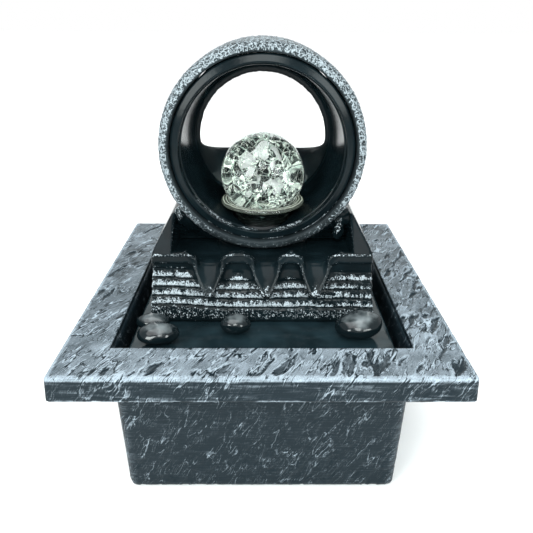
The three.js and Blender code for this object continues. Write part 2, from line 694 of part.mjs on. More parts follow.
function fountainTop() {
  add("deck", materials.blackResin, deck());
  add("waterfall_block", materials.blackResin, waterfallBlock());
  screws();
  add("ring_shell", materials.roughResin, ringShell());
  add("ring_liner", materials.blackResin, ringLiner());
  add("rock_left", materials.roughResin, rock(-1));
  add("rock_right", materials.roughResin, rock(1));
  for (const [name, ...sizes] of PEBBLES) add(name, materials.blackResin, pebble(...sizes));
  lightUnit();
  add("ball_cup", materials.acrylic, ballCup());
  const ball = new THREE.SphereGeometry(BALL_RADIUS, 24, 16).rotateX(Math.PI / 2);
  add("crystal_ball", materials.crystal, solid(ball.translate(...BALL_CENTRE)));
  waterPath();
  upperLead();
}

basin();
powerInlet();
lowerLeads();
add("pump_body", materials.pumpPlastic, pumpBody());
pumpMotor();
pumpRotor();
pumpFront();
suctionCups();
lightSocket();
fountainTop();

export default group;
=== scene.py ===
"""A tabletop water fountain: a slate-look tub and rim, a brick block with spouts, and a ring
that holds a lit cup with a crackled crystal ball. Shapes are worked out in millimetres."""

import itertools
import json
import math

import bmesh
import bpy
import numpy as np
import openvdb
from bpy.props import FloatProperty, FloatVectorProperty, IntProperty, PointerProperty
from mathutils import Matrix, Vector


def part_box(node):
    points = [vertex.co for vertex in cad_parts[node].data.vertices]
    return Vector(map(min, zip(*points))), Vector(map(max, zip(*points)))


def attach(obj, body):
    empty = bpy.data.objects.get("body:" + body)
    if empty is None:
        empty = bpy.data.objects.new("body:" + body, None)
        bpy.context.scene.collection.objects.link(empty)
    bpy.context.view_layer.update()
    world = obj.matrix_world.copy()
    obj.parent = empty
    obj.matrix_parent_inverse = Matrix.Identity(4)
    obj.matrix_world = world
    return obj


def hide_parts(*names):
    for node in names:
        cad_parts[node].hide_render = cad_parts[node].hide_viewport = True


bl_info = {
    "name": "Tabletop Water Fountain",
    "version": (1, 0, 0),
    "blender": (4, 5, 0),
    "location": "View3D > Sidebar > Fountain",
    "description": "Builds a tabletop water fountain around its fixed frame",
    "category": "Add Mesh",
}

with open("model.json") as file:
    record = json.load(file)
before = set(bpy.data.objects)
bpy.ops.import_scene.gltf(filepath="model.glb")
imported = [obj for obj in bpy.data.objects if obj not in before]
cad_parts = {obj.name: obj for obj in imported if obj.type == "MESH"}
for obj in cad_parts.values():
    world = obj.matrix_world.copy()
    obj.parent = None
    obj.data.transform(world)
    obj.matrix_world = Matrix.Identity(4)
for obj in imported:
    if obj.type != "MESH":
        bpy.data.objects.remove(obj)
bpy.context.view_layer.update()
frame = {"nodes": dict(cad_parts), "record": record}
MM = 0.001


# ---------------------------------------------------------------- Places taken from the frame


def span(node):
    """Lowest and highest corners of a node of the frame, in millimetres."""
    low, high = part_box(node)
    return np.array(low) / MM, np.array(high) / MM


def middle(node):
    """The middle of a node's box, in millimetres."""
    low, high = span(node)
    return (low + high) / 2


RIM = span("rim_frame")
TUB = span("basin_tub")
DECK = span("deck")
BLOCK = span("waterfall_block")
RING = span("ring_shell")
LINER = span("ring_liner")
CUP = span("ball_cup")
BALL = middle("crystal_ball")
BALL_RADIUS = (span("crystal_ball")[1][2] - span("crystal_ball")[0][2]) / 2
RING_CENTRE = middle("ring_shell")[2]
RING_RADIUS = (RING[1][2] - RING[0][2]) / 2
CORNERS = ["front_left", "front_right", "rear_left", "rear_right"]


# ---------------------------------------------------------------- Settings a user would change


class SlateSettings(bpy.types.PropertyGroup):
    """Sizes and colours of the slate-look tub and rim."""

    depth: FloatProperty(name="Cleft depth", description="Depth of the clefts in mm", default=0.65, min=0.0)
    cleft: FloatProperty(
        name="Cleft spacing", description="Spacing of the clefts in mm", default=4.2, min=1.0
    )
    stone: FloatVectorProperty(
        name="Slate", description="Colour in the clefts", subtype="COLOR", default=(0.006, 0.013, 0.018)
    )
    silver: FloatVectorProperty(
        name="Silver", description="Colour brushed on the slate", subtype="COLOR", default=(0.37, 0.44, 0.50)
    )


class ResinSettings(bpy.types.PropertyGroup):
    """Sizes and colours of the black resin block, deck, pebbles and ring."""

    course: FloatProperty(
        name="Course height", description="Height of one brick course in mm", default=5.5, min=2.0
    )
    groove: FloatProperty(name="Joint depth", description="Depth of the joints in mm", default=1.1, min=0.0)
    chips: FloatProperty(
        name="Chip size", description="Size of the ring's chips in mm", default=4.2, min=1.0
    )
    relief: FloatProperty(
        name="Chip depth", description="Depth of the ring's chips in mm", default=0.9, min=0.0
    )
    seed: IntProperty(name="Seed", description="Changes where the chips fall", default=4, min=0)
    black: FloatVectorProperty(
        name="Black", description="Colour of the resin", subtype="COLOR", default=(0.0038, 0.0080, 0.0100)
    )
    silver: FloatVectorProperty(
        name="Silver", description="Colour brushed on the relief", subtype="COLOR", default=(0.44, 0.50, 0.54)
    )


class CrystalSettings(bpy.types.PropertyGroup):
    """The crackled ball and its cup."""

    cracks: IntProperty(name="Cracks", description="How many cracks are in the ball", default=26, min=0)
    crack_size: FloatProperty(
        name="Crack size", description="Radius of a crack in mm", default=5.0, min=0.5
    )
    seed: IntProperty(name="Seed", description="Changes where the cracks fall", default=11, min=0)
    tint: FloatVectorProperty(
        name="Tint", description="Colour of the glass", subtype="COLOR", default=(0.93, 0.98, 0.95)
    )


class StageSettings(bpy.types.PropertyGroup):
    """The floor, the lights and the camera."""

    lens: FloatProperty(
        name="Lens", description="Focal length of the camera in mm", default=35.75, min=10.0
    )
    tilt: FloatProperty(
        name="Tilt", description="How far the camera looks down", subtype="ANGLE", default=math.radians(25.38)
    )
    turn: FloatProperty(
        name="Turn", description="How far the camera looks right", subtype="ANGLE", default=math.radians(0.51)
    )
    roll: FloatProperty(
        name="Roll", description="How far the camera leans", subtype="ANGLE", default=math.radians(0.35)
    )
    key: FloatProperty(
        name="Key light", description="Power of the key light", subtype="POWER", default=4.6, min=0.0
    )
    sun: FloatProperty(
        name="Daylight", description="Strength of the soft light from above", default=2.1, min=0.0
    )
    fill: FloatProperty(name="Sky", description="Strength of the sky", default=0.5, min=0.0)


# ---------------------------------------------------------------- Meshes


def new_mesh(name, points, *faces):
    """A mesh from points in millimetres and one or more arrays of faces."""
    mesh = bpy.data.meshes.new(name)
    mesh.vertices.add(len(points))
    mesh.vertices.foreach_set("co", (np.asarray(points, np.float32) * MM).ravel())
    faces = [np.asarray(f, np.int32) for f in faces if len(f)]
    corners = np.concatenate([f.ravel() for f in faces])
    sizes = np.concatenate([np.full(len(f), f.shape[1]) for f in faces])
    mesh.loops.add(len(corners))
    mesh.loops.foreach_set("vertex_index", corners)
    mesh.polygons.add(len(sizes))
    mesh.polygons.foreach_set("loop_start", np.concatenate([[0], np.cumsum(sizes)[:-1]]).astype(np.int32))
    mesh.update(calc_edges=True)
    mesh.validate()
    mesh.shade_smooth()
    return mesh


def read(mesh):
    """A mesh's points in millimetres and its normals."""
    count = len(mesh.vertices)
    points = np.empty(count * 3, np.float32)
    mesh.vertices.foreach_get("co", points)
    normals = np.empty(count * 3, np.float32)
    mesh.vertex_normals.foreach_get("vector", normals)
    return points.reshape(-1, 3).astype(float) / MM, normals.reshape(-1, 3).astype(float)


def write(mesh, points):
    """Puts a mesh's points where they are asked for, in millimetres."""
    mesh.vertices.foreach_set("co", (points * MM).astype(np.float32).ravel())
    mesh.update()


def paint(mesh, name, values):
    """Stores one number for each point, which a material reads by name."""
    layer = mesh.attributes.get(name) or mesh.attributes.new(name, "FLOAT", "POINT")
    layer.data.foreach_set("value", np.asarray(values, np.float32))


def proud(mesh, rounds):
    """How far each point stands out from its neighbours, in millimetres."""
    points, normals = read(mesh)
    edges = np.empty(len(mesh.edges) * 2, np.int32)
    mesh.edges.foreach_get("vertices", edges)
    a, b = edges.reshape(-1, 2).T
    degree = np.maximum(np.bincount(a, minlength=len(points)) + np.bincount(b, minlength=len(points)), 1)
    calm = points.copy()
    for _ in range(rounds):
        for axis in range(3):
            values = calm[:, axis].copy()
            total = np.bincount(a, values[b], len(points)) + np.bincount(b, values[a], len(points))
            calm[:, axis] = total / degree
    return ((points - calm) * normals).sum(1)


def placed(name, data):
    """A new object in the scene, at the origin."""
    made = bpy.data.objects.new(name, data)
    bpy.context.scene.collection.objects.link(made)
    return made


def finished_mesh(piece):
    """A piece's mesh with its modifiers applied."""
    depsgraph = bpy.context.evaluated_depsgraph_get()
    return bpy.data.meshes.new_from_object(piece.evaluated_get(depsgraph), depsgraph=depsgraph)


def settle(mesh, body, material, slot, *nodes):
    """Makes a finished piece of a mesh: it wears a material, rides on a body and replaces nodes."""
    made = placed(mesh.name, mesh)
    mesh.materials.clear()
    mesh.materials.append(material)
    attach(made, body)
    if nodes:
        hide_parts(*nodes)
    return made


def smooth_step(value, low, high):
    """0 below low, 1 above high and smooth between them."""
    t = np.clip((value - low) / (high - low), 0, 1)
    return t * t * (3 - 2 * t)


def noise(points, size, seed=0):
    """Smooth noise from about -1 to 1, with bumps about size millimetres across."""
    at = points / size + seed * 7.31
    cell = np.floor(at).astype(np.int64)
    inside = at - cell
    ease = inside**3 * (inside * (inside * 6 - 15) + 10)
    total = np.zeros(len(points))
    for corner in itertools.product((0, 1), repeat=3):
        c = cell + corner
        h = (c[:, 0] * 73856093) ^ (c[:, 1] * 19349663) ^ (c[:, 2] * 83492791) ^ (seed * 2654435761)
        h = ((h & 0xFFFFFFFF) ^ ((h & 0xFFFFFFFF) >> 15)) * 2246822519 & 0xFFFFFFFF
        h = (h ^ (h >> 13)) * 3266489917 & 0xFFFFFFFF
        away = inside - corner
        slope = np.stack([(h >> s & 1023) / 511.5 - 1 for s in (2, 12, 22)], 1)
        weight = np.where(np.array(corner), ease, 1 - ease).prod(1)
        total += weight * (slope * away).sum(1)
    return total * 1.6


def layered(points, size, layers, seed=0):
    """Noise with finer and fainter layers on top of each other."""
    total, height = 0, 1.0
    for i in range(layers):
        total = total + height * noise(points, size / 2**i, seed + i)
        height *= 0.5
    return total


def loops_to_quads(rows, count, close_rows=False):
    """Quads between closed loops of points that follow each other."""
    row = np.arange(rows if close_rows else rows - 1)[:, None]
    here = np.arange(count)[None, :]
    after = (here + 1) % count
    above = (row + 1) % rows
    quads = [row * count + here, row * count + after, above * count + after, above * count + here]
    return np.stack(quads, -1).reshape(-1, 4)


def outward(points, quads):
    """The quads turned so that a closed shape faces out."""
    a, b, c, d = (points[quads[:, i]] for i in range(4))
    volume = (np.cross(a, b) * c).sum() + (np.cross(a, c) * d).sum()
    return quads if volume > 0 else quads[:, ::-1]


def refine(profile, step, rounding=0.0):
    """A profile with its long sides cut into steps and, if asked, its corners eased."""
    profile = [np.array(p, float) for p in profile]
    out = []
    for p, q in zip(profile, profile[1:] + profile[:1]):
        parts = max(1, round(np.linalg.norm(q - p) / step))
        out += [p + (q - p) * i / parts for i in range(parts)]
    out = np.array(out)
    for _ in range(int(rounding / step * 2)):
        out = (np.roll(out, 1, 0) + 2 * out + np.roll(out, -1, 0)) / 4
    return out


def turned(name, profile, centre, around="Z", segments=128):
    """A closed profile of [radius, height] points turned about an axis through a centre."""
    profile = np.asarray(profile, float)
    angle = np.linspace(0, 2 * math.pi, segments, endpoint=False)
    r, h = profile[:, :1], profile[:, 1:]
    u, v, w = r * np.cos(angle), r * np.sin(angle), h + 0 * angle
    points = np.stack((u, v, w) if around == "Z" else (u, w, v), -1).reshape(-1, 3)
    points = points + np.array(centre)
    return new_mesh(name, points, outward(points, loops_to_quads(len(profile), segments, True)))


def rod_profile(radius, low, high):
    """The section of a plain rod, to be turned about its axis."""
    return [(0.01, low), (radius, low), (radius, high), (0.01, high)]


def unit_sphere(rows, count):
    """The points of a ball of radius 1, from its lower pole to its upper one."""
    up = np.linspace(-0.5, 0.5, rows)[:, None] * math.pi
    angle = np.linspace(0, 2 * math.pi, count, endpoint=False)[None, :]
    flat = np.cos(up)
    return np.stack([flat * np.cos(angle), flat * np.sin(angle), np.sin(up) + 0 * angle], -1).reshape(-1, 3)


def box_mesh(name, low, high, bevel):
    """A box with rounded edges."""
    shape = bmesh.new()
    bmesh.ops.create_cube(shape, size=1.0)
    low, high = Vector(low) * MM, Vector(high) * MM
    bmesh.ops.scale(shape, vec=high - low, verts=shape.verts)
    bmesh.ops.translate(shape, vec=(low + high) / 2, verts=shape.verts)
    bmesh.ops.bevel(shape, geom=shape.edges[:], offset=bevel * MM, segments=2, affect="EDGES", profile=0.5)
    return poured(shape, bpy.data.meshes.new(name))


def poured(shape, mesh):
    """The mesh, with an edited shape put into it."""
    shape.to_mesh(mesh)
    shape.free()
    mesh.shade_smooth()
    return mesh


def merge(target, meshes):
    """Adds meshes to a piece's own mesh."""
    shape = bmesh.new()
    shape.from_mesh(target.data)
    for extra in meshes:
        shape.from_mesh(extra)
        bpy.data.meshes.remove(extra)
    poured(shape, target.data)


def weld(mesh, distance=0.02):
    """Joins points that lie on each other and turns the faces out."""
    shape = bmesh.new()
    shape.from_mesh(mesh)
    bmesh.ops.remove_doubles(shape, verts=shape.verts[:], dist=distance * MM)
    bmesh.ops.recalc_face_normals(shape, faces=shape.faces[:])
    poured(shape, mesh)


def drill(piece, cutter, solver):
    """Cuts one mesh out of a piece."""
    tool = placed("cutter", cutter)
    modifier = piece.modifiers.new("drill", "BOOLEAN")
    modifier.object, modifier.operation, modifier.solver = tool, "DIFFERENCE", solver
    mesh = finished_mesh(piece)
    piece.modifiers.clear()
    piece.data = mesh
    mesh.shade_smooth()
    bpy.data.objects.remove(tool)


# ---------------------------------------------------------------- Shapes as fields of distances


def grid(low, high, step):
    """x, y and z of a block of evenly spaced points."""
    axes = [np.arange(a, b + step, step, dtype=np.float32) for a, b in zip(low, high)]
    return np.meshgrid(*axes, indexing="ij", sparse=True)


def melt(a, b, width):
    """The union of two fields, with a fillet of about this width."""
    h = np.clip(0.5 + 0.5 * (b - a) / width, 0, 1)
    return b * (1 - h) + a * h - width * h * (1 - h)


def meet(a, b, width):
    """What two fields share, with its edges rounded by about this width."""
    return -melt(-a, -b, width)


def carve(a, b, width):
    """One field with another cut away from it."""
    return -melt(-a, b, width)


def common(width, *fields):
    """What several fields share."""
    out = fields[0]
    for field in fields[1:]:
        out = meet(out, field, width)
    return out


def cast(name, field, low, step):
    """The skin of a field as a mesh."""
    volume = openvdb.FloatGrid(4 * step)
    volume.copyFromArray(np.ascontiguousarray(field, np.float32))
    points, triangles, quads = volume.convertToPolygons(isovalue=0.0, adaptivity=0.0)
    return new_mesh(name, points * step + np.asarray(low), triangles.astype(np.int32), quads.astype(np.int32))


# ---------------------------------------------------------------- Node trees

RESIN_GLOSS = 0.12  # specular level of the painted resin
VEIN_SCALE = 0.36  # cells to a millimetre in the ring's veins


class Graph:
    """Adds nodes to a tree and links them."""

    def __init__(self, tree):
        self.tree = tree

    def feed(self, socket, value):
        if isinstance(value, bpy.types.NodeSocket):
            self.tree.links.new(value, socket)
        else:
            socket.default_value = value

    def add(self, kind, inputs=None, **settings):
        made = self.tree.nodes.new(kind)
        for key, value in settings.items():
            setattr(made, key, value)
        for key, value in (inputs or {}).items():
            self.feed(made.inputs[key], value)
        return made

    def dress(self, shader, **values):
        """Feeds a shader's sockets, which are named with _ for each space."""
        for key, value in values.items():
            self.feed(shader.inputs[key.replace("_", " ")], value)

    def bump(self, shader, height, strength, distance):
        """Makes a surface rise and fall with a height, over a distance in millimetres."""
        rise = {"Height": height, "Strength": strength, "Distance": distance * MM}
        self.feed(shader.inputs["Normal"], self.add("ShaderNodeBump", rise).outputs[0])

    def asked(self):
        """What the points of a piece ask for by their attribute "silver"."""
        return self.add("ShaderNodeAttribute", attribute_name="silver").outputs["Fac"]

    def height(self, at):
        return self.add("ShaderNodeSeparateXYZ", {0: at}).outputs[2]

    def math(self, operation, *values):
        return self.add("ShaderNodeMath", dict(enumerate(values)), operation=operation).outputs[0]

    def vector(self, operation, *values):
        return self.add("ShaderNodeVectorMath", dict(enumerate(values)), operation=operation).outputs[0]

    def scaled(self, vector, factor):
        return self.add("ShaderNodeVectorMath", {0: vector, "Scale": factor}, operation="SCALE").outputs[0]

    def noise(self, at, scale, detail=3.0, roughness=0.55, distortion=0.0):
        inputs = {"Vector": at, "Scale": scale, "Detail": detail}
        inputs |= {"Roughness": roughness, "Distortion": distortion}
        return self.add("ShaderNodeTexNoise", inputs).outputs[0]

    def coloured_noise(self, at, scale):
        return self.add("ShaderNodeTexNoise", {"Vector": at, "Scale": scale, "Detail": 2.0}).outputs["Color"]

    def waved(self, at, scale, push):
        """Coordinates pushed about by slow noise, so that no pattern on them runs straight."""
        return self.vector("ADD", at, self.scaled(self.coloured_noise(at, scale), push))

    def stretched(self, at, scale):
        """Coordinates stretched, so that a pattern on them runs along one direction."""
        return self.add("ShaderNodeMapping", {"Vector": at, "Scale": scale}, vector_type="TEXTURE").outputs[0]

    def cells(self, at, scale):
        """Three random numbers for each cell of a cellular pattern."""
        colour = self.add("ShaderNodeTexVoronoi", {"Vector": at, "Scale": scale}).outputs["Color"]
        return self.add("ShaderNodeSeparateColor", {0: colour}).outputs

    def cell_edges(self, at, scale):
        """How far each place of a cellular pattern is from the edge of its cell."""
        inputs = {"Vector": at, "Scale": scale}
        return self.add("ShaderNodeTexVoronoi", inputs, feature="DISTANCE_TO_EDGE").outputs[0]

    def step(self, value, low, high, start=0.0, end=1.0):
        inputs = {"Value": value, "From Min": low, "From Max": high, "To Min": start, "To Max": end}
        return self.add("ShaderNodeMapRange", inputs, interpolation_type="SMOOTHSTEP").outputs[0]

    def mix(self, factor, a, b):
        return self.add("ShaderNodeMix", {0: factor, 6: a, 7: b}, data_type="RGBA").outputs[2]


def material(name):
    """A new material's graph, its Principled shader and its object coordinates."""
    made = bpy.data.materials.new(name)
    made.use_nodes = True
    made.node_tree.nodes.clear()
    graph = Graph(made.node_tree)
    shader = graph.add("ShaderNodeBsdfPrincipled")
    graph.add("ShaderNodeOutputMaterial", {"Surface": shader.outputs[0]})
    at = graph.add("ShaderNodeTexCoord").outputs["Object"]
    return made, graph, shader, at


def rgba(colour, gain=1.0):
    """A colour for a socket, made brighter or darker."""
    return (*[c * gain for c in colour], 1.0)


def brushed_over(name, dark, silver, softness, grain, gloss, matt, bump, streaks=(1.0, 1.0, 1.0), veins=0.0):
    """Black paint with silver brushed on where the attribute "silver" asks for it."""
    made, graph, shader, at = material(name)
    fine = graph.noise(at, 1 / (grain * MM), 3.0, 0.65)
    along = graph.noise(graph.stretched(at, streaks), 1 / (grain * 1.3 * MM), 3.0, 0.6)
    speckle = graph.math("ADD", graph.math("MULTIPLY", fine, 0.5), graph.math("MULTIPLY", along, 0.5))
    spread = graph.step(speckle, 0.34, 0.66)
    if veins:
        edge = graph.cell_edges(at, VEIN_SCALE / MM)
        spread = graph.math("ADD", spread, graph.step(edge, 0.0, 0.16, veins, -0.4 * veins))
    reach = graph.math("MULTIPLY_ADD", graph.asked(), 1.0 + softness, -1.0 - softness / 2)
    cover = graph.step(graph.math("ADD", spread, reach), 0.0, softness)
    tone = graph.noise(at, 0.05 / MM, 2.0)
    bright = graph.mix(graph.step(speckle, 0.40, 0.60), rgba(silver, 0.50), rgba(silver, 1.15))
    shade = graph.mix(graph.step(tone, 0.3, 0.7), rgba(dark, 0.7), rgba(dark, 1.4))
    graph.dress(
        shader,
        Base_Color=graph.mix(cover, shade, bright),
        Roughness=graph.step(cover, 0.0, 1.0, gloss, matt),
        Specular_IOR_Level=RESIN_GLOSS,
    )
    height = graph.math("ADD", graph.math("MULTIPLY", cover, 0.6), graph.noise(at, 0.5 / MM, 3.0, 0.6))
    graph.bump(shader, height, bump, 0.15)
    return made


def plain(name, colour, roughness, metallic=0.0, **sockets):
    """A moulded or metal finish with a fine grain and slight changes of tone."""
    made, graph, shader, at = material(name)
    tone = graph.noise(at, 0.08 / MM, 3.0)
    fine = graph.noise(at, 1.0 / MM, 3.0, 0.65)
    graph.dress(
        shader,
        Base_Color=graph.mix(graph.step(tone, 0.3, 0.7), rgba(colour, 0.75), rgba(colour, 1.25)),
        Roughness=graph.step(fine, 0.3, 0.7, roughness * 0.85, min(1.0, roughness * 1.15)),
        Metallic=metallic,
        **sockets,
    )
    graph.bump(shader, fine, 0.15, 0.05)
    return made


def geometry_tree(name, inputs):
    """An empty geometry tree with named inputs, its graph, its input node and its output node."""
    tree = bpy.data.node_groups.new(name, "GeometryNodeTree")
    tree.interface.new_socket("Geometry", in_out="INPUT", socket_type="NodeSocketGeometry")
    for label, (kind, default) in inputs.items():
        socket = tree.interface.new_socket(label, in_out="INPUT", socket_type=f"NodeSocket{kind}")
        if default is not None:
            socket.default_value = default
    tree.interface.new_socket("Geometry", in_out="OUTPUT", socket_type="NodeSocketGeometry")
    graph = Graph(tree)
    return tree, graph, graph.add("NodeGroupInput"), graph.add("NodeGroupOutput")


def grown(name, host, tree, **values):
    """The plain mesh that a geometry tree makes of a host mesh."""
    maker = placed(name, host)
    modifier = maker.modifiers.new("grow", "NODES")
    modifier.node_group = tree
    for item in tree.interface.items_tree:
        key = item.name.replace(" ", "_")
        if item.in_out == "INPUT" and key in values:
            modifier[item.identifier] = values[key]
    mesh = finished_mesh(maker)
    bpy.data.objects.remove(maker)
    mesh.name = name
    return mesh


# ---------------------------------------------------------------- Slate tub and rim

ACROSS, ALONG = 0.89, 0.45  # how steeply the wrinkles climb to the right
GRAIN_SHRINK = 0.15  # how much shorter the noise is made along the wrinkles
# turns a place into one across, one along and one through the wrinkles, alike on upright and level faces
GRAIN = np.array([
    [ACROSS, -ALONG, -ALONG],
    [ALONG * GRAIN_SHRINK, ACROSS * GRAIN_SHRINK, ACROSS * GRAIN_SHRINK],
    [0.0, GRAIN_SHRINK, -GRAIN_SHRINK],
])
WRINKLES = ((5.4, 0.019, 0.95), (2.8, 0.020, 0.66), (1.6, 0.026, 0.36))  # spacing in mm, width and strength
SLATE_GLOSS = 0.14  # specular level of the slate
RIM_WIDTH, RIM_SKIN, RIM_BEVEL = 26.0, 3.0, 1.9
TUB_FOOT, TUB_MOUTH = 79.0, 80.5  # half widths of the tub at its foot and its mouth
TUB_WALL, TUB_FLOOR = 1.8, 2.5
POST = (65.2, 77.6, 82.7)  # inner side, outer side and top of each post
INLET_BORE = 6.2


def slate_relief(points, settings):
    """Height of the slate in parts of its depth, then its pits, their dark outlines and their pale edges."""
    warp = np.stack([noise(points, 9, s) for s in (3, 4, 5)], 1) * 1.3
    bent = points + warp
    bent = bent @ GRAIN.T
    swell = noise(bent, settings.cleft, 21) + 0.35 * noise(bent, settings.cleft * 0.4, 22)
    bold = smooth_step(points[:, 0] - 0.4 * points[:, 1], -60, 70)
    shore = 0.58 - 0.20 * bold - 0.30 * layered(points, 26, 2, 8)
    pit = smooth_step(swell, shore, shore + 0.08)
    outline = smooth_step(np.abs(swell - shore - 0.03), 0.09, 0.02)
    edge = smooth_step(np.abs(swell - shore + 0.13), 0.12, 0.02)
    height = -0.9 * pit - 0.35 * outline + 0.35 * edge + 0.28 * noise(bent, 2.4, 33)
    return height, pit, outline, edge


def square_loop(half, radius, side_steps, corner_steps):
    """A square with rounded corners, with the same number of points whatever its size."""
    flat = half - radius
    side = [(half, -flat + 2 * flat * i / side_steps) for i in range(side_steps)]
    arc = [i / corner_steps * math.pi / 2 for i in range(corner_steps)]
    bend = [(flat + radius * math.cos(a), flat + radius * math.sin(a)) for a in arc]
    quarter_turn = np.array([[0, 1], [-1, 0]])
    spins = [np.linalg.matrix_power(quarter_turn, quarter) for quarter in range(4)]
    return np.array([np.array(p) @ spin for spin in spins for p in side + bend])


def stepped(section):
    """A closed section of [half width, height, corner radius, step] with each side cut into its steps."""
    profile = []
    for p, q in zip(section, section[1:] + section[:1]):
        parts = max(1, round(math.dist(p[:2], q[:2]) / p[3]))
        profile += [tuple(a + (b - a) * i / parts for a, b in zip(p[:3], q[:3])) for i in range(parts)]
    return profile


def square_sweep(name, profile, side_steps, corner_steps):
    """A closed profile of [half width, height, corner radius] swept round a square."""
    rows = []
    for half, height, radius in profile:
        loop = square_loop(half, radius, side_steps, corner_steps)
        rows.append(np.column_stack([loop, np.full(len(loop), height)]))
    points = np.concatenate(rows)
    quads = loops_to_quads(len(rows), len(rows[0]), True)
    return new_mesh(name, points, outward(points, quads))


def slate_finish(settings):
    """Blue-black slate, brushed with silver that catches on its wrinkles."""
    if "brushed_slate" in bpy.data.materials:
        return bpy.data.materials["brushed_slate"]
    made, graph, shader, at = material("brushed_slate")
    asked = graph.asked()
    wavy = graph.waved(at, 0.22 / MM, 1.5 * MM)
    axes = [graph.vector("DOT_PRODUCT", wavy, tuple(row)).node.outputs["Value"] for row in GRAIN]
    bent = graph.add("ShaderNodeCombineXYZ", dict(enumerate(axes))).outputs[0]
    patch = graph.step(graph.noise(at, 0.10 / MM, 2.0), 0.40, 0.58, 0.15, 1.0)
    grit = graph.noise(at, 1.5 / MM, 3.0, 0.7)
    tone = graph.math("MULTIPLY", asked, graph.step(grit, 0.3, 0.7, 0.80, 1.20))
    steady = graph.step(asked, 0.75, 1.0, 1.0, 0.3)
    lift = graph.math("MULTIPLY", graph.step(asked, 0.0, 0.5, 0.46, 0.74), steady)
    for size, width, strength in WRINKLES:
        wave = graph.noise(bent, 1 / (size * MM), 2.0, 0.5, 0.1)
        crest, crack = (
            graph.step(graph.math("ABSOLUTE", graph.math("SUBTRACT", wave, level)), 0.0, width, strength, 0.0)
            for level in (0.5 + width, 0.5 - width)
        )
        line = graph.math("SUBTRACT", crest, graph.math("MULTIPLY", crack, 1.3))
        tone = graph.math("MULTIPLY_ADD", graph.math("MULTIPLY", line, patch), lift, tone)
    streak = graph.noise(graph.stretched(at, (12.0, 12.0, 0.55)), 1 / MM, 2.0)
    tone = graph.math("ADD", tone, graph.step(streak, 0.3, 0.7, -0.09, 0.09))
    cover = graph.step(tone, 0.0, 1.1)
    graph.dress(
        shader,
        Base_Color=graph.mix(cover, rgba(settings.stone), rgba(settings.silver)),
        Roughness=graph.step(cover, 0.0, 1.0, 0.42, 0.62),
        Specular_IOR_Level=SLATE_GLOSS,
    )
    graph.bump(shader, tone, 0.55, 0.25)
    return made


def slate_texture(mesh, settings, depth, outside):
    """Presses the slate's relief into a mesh where outside is 1, and returns its pits, outlines and edges."""
    points, normals = read(mesh)
    height, *marks = slate_relief(points, settings)
    write(mesh, points + normals * (outside * height * depth)[:, None])
    return marks


def slate_rim(settings):
    """The wide square rim: a flat plate with a worn, bevelled edge that turns down."""
    half, top, bottom = RIM[1][0], RIM[1][2], RIM[0][2]
    opening = half - RIM_WIDTH
    section = [
        (opening, top, 0.3, 0.66),
        (half - 0.8 - RIM_BEVEL, top, 0.5, 0.5),
        (half - 1.1, top - 0.5, 1.0, 0.5),
        (half - 0.7, top - RIM_BEVEL, 1.3, 0.8),
        (half, bottom + 0.8, 1.5, 0.5),
        (half - 0.5, bottom, 1.3, 1.0),
        (half - RIM_SKIN, bottom, 1.0, 3.0),
        (half - RIM_SKIN, top - RIM_SKIN, 1.0, 5.0),
        (opening, top - RIM_SKIN, 0.3, 1.0),
    ]
    mesh = square_sweep("slate_rim", stepped(section), 270, 4)
    points, normals = read(mesh)
    reach = np.abs(points[:, :2]).max(1)
    flat = smooth_step(normals[:, 2], 0.35, 0.8)
    outside = np.where((points[:, 2] > top - 2.2) | (reach > half - 1.5), 0.35 + 0.65 * flat, 0.0)
    outside = outside * np.where(reach < opening + 0.5, 0.2, 1.0)
    bevelled = smooth_step(reach, half - 3.4, half - 2.2) * smooth_step(points[:, 2], top - 2.6, top - 1.7)
    pit, outline, edge = slate_texture(mesh, settings, settings.depth, outside * (1 - 0.7 * bevelled))
    patches = layered(points, 30, 3, 60)
    near_front = smooth_step(-points[:, 1], 20, 100) * smooth_step(np.abs(points[:, 0]), 125, 55)
    silver = 0.36 + 0.10 * patches + 0.18 * near_front - 0.28 * pit - 0.42 * outline + 0.30 * edge
    left = smooth_step(-points[:, 0], 50, 85)
    brushed = smooth_step(noise(points * [0.07, 0.07, 1.0], 1.0, 67), 0.0, 0.7)
    side = 0.02 + 0.24 * brushed + 0.03 * patches + (0.04 + 0.22 * left) * (edge - outline)
    ragged = smooth_step(points[:, 2] + 0.5 * noise(points, 3, 62), bottom + 1.1, bottom + 0.5)
    side = side + 0.55 * ragged * smooth_step(layered(points, 20, 2, 63), -0.1, 0.2)
    silver = flat * silver + (1 - flat) * side
    silver = silver + bevelled * (0.80 - silver) * (0.85 + 0.3 * noise(points, 8, 66))
    paint(mesh, "silver", np.clip(silver, 0, 1.15))
    return settle(mesh, "base", slate_finish(settings), "slate", "rim_frame")


def tub_section():
    """The tub's section from its floor to its flange, as [half width, height, corner radius, step]."""
    bottom, top, flange = TUB[0][2], TUB[1][2], TUB[1][0]
    return [
        (2.0, bottom, 0.5, 12.0),
        (TUB_FOOT - 2.2, bottom, 4.0, 0.8),
        (TUB_FOOT - 0.5, bottom + 0.7, 4.8, 0.8),
        (TUB_FOOT, bottom + 2.4, 5.0, 0.95),
        (TUB_MOUTH, top - 2.0, 5.0, 5.0),
        (flange, top - 2.0, 5.0, 2.0),
        (flange, top, 5.0, 5.0),
        (TUB_MOUTH - TUB_WALL, top, 3.2, 4.0),
        (TUB_FOOT - TUB_WALL, bottom + TUB_FLOOR, 3.2, 12.0),
        (2.0, bottom + TUB_FLOOR, 0.5, 3.0),
    ]


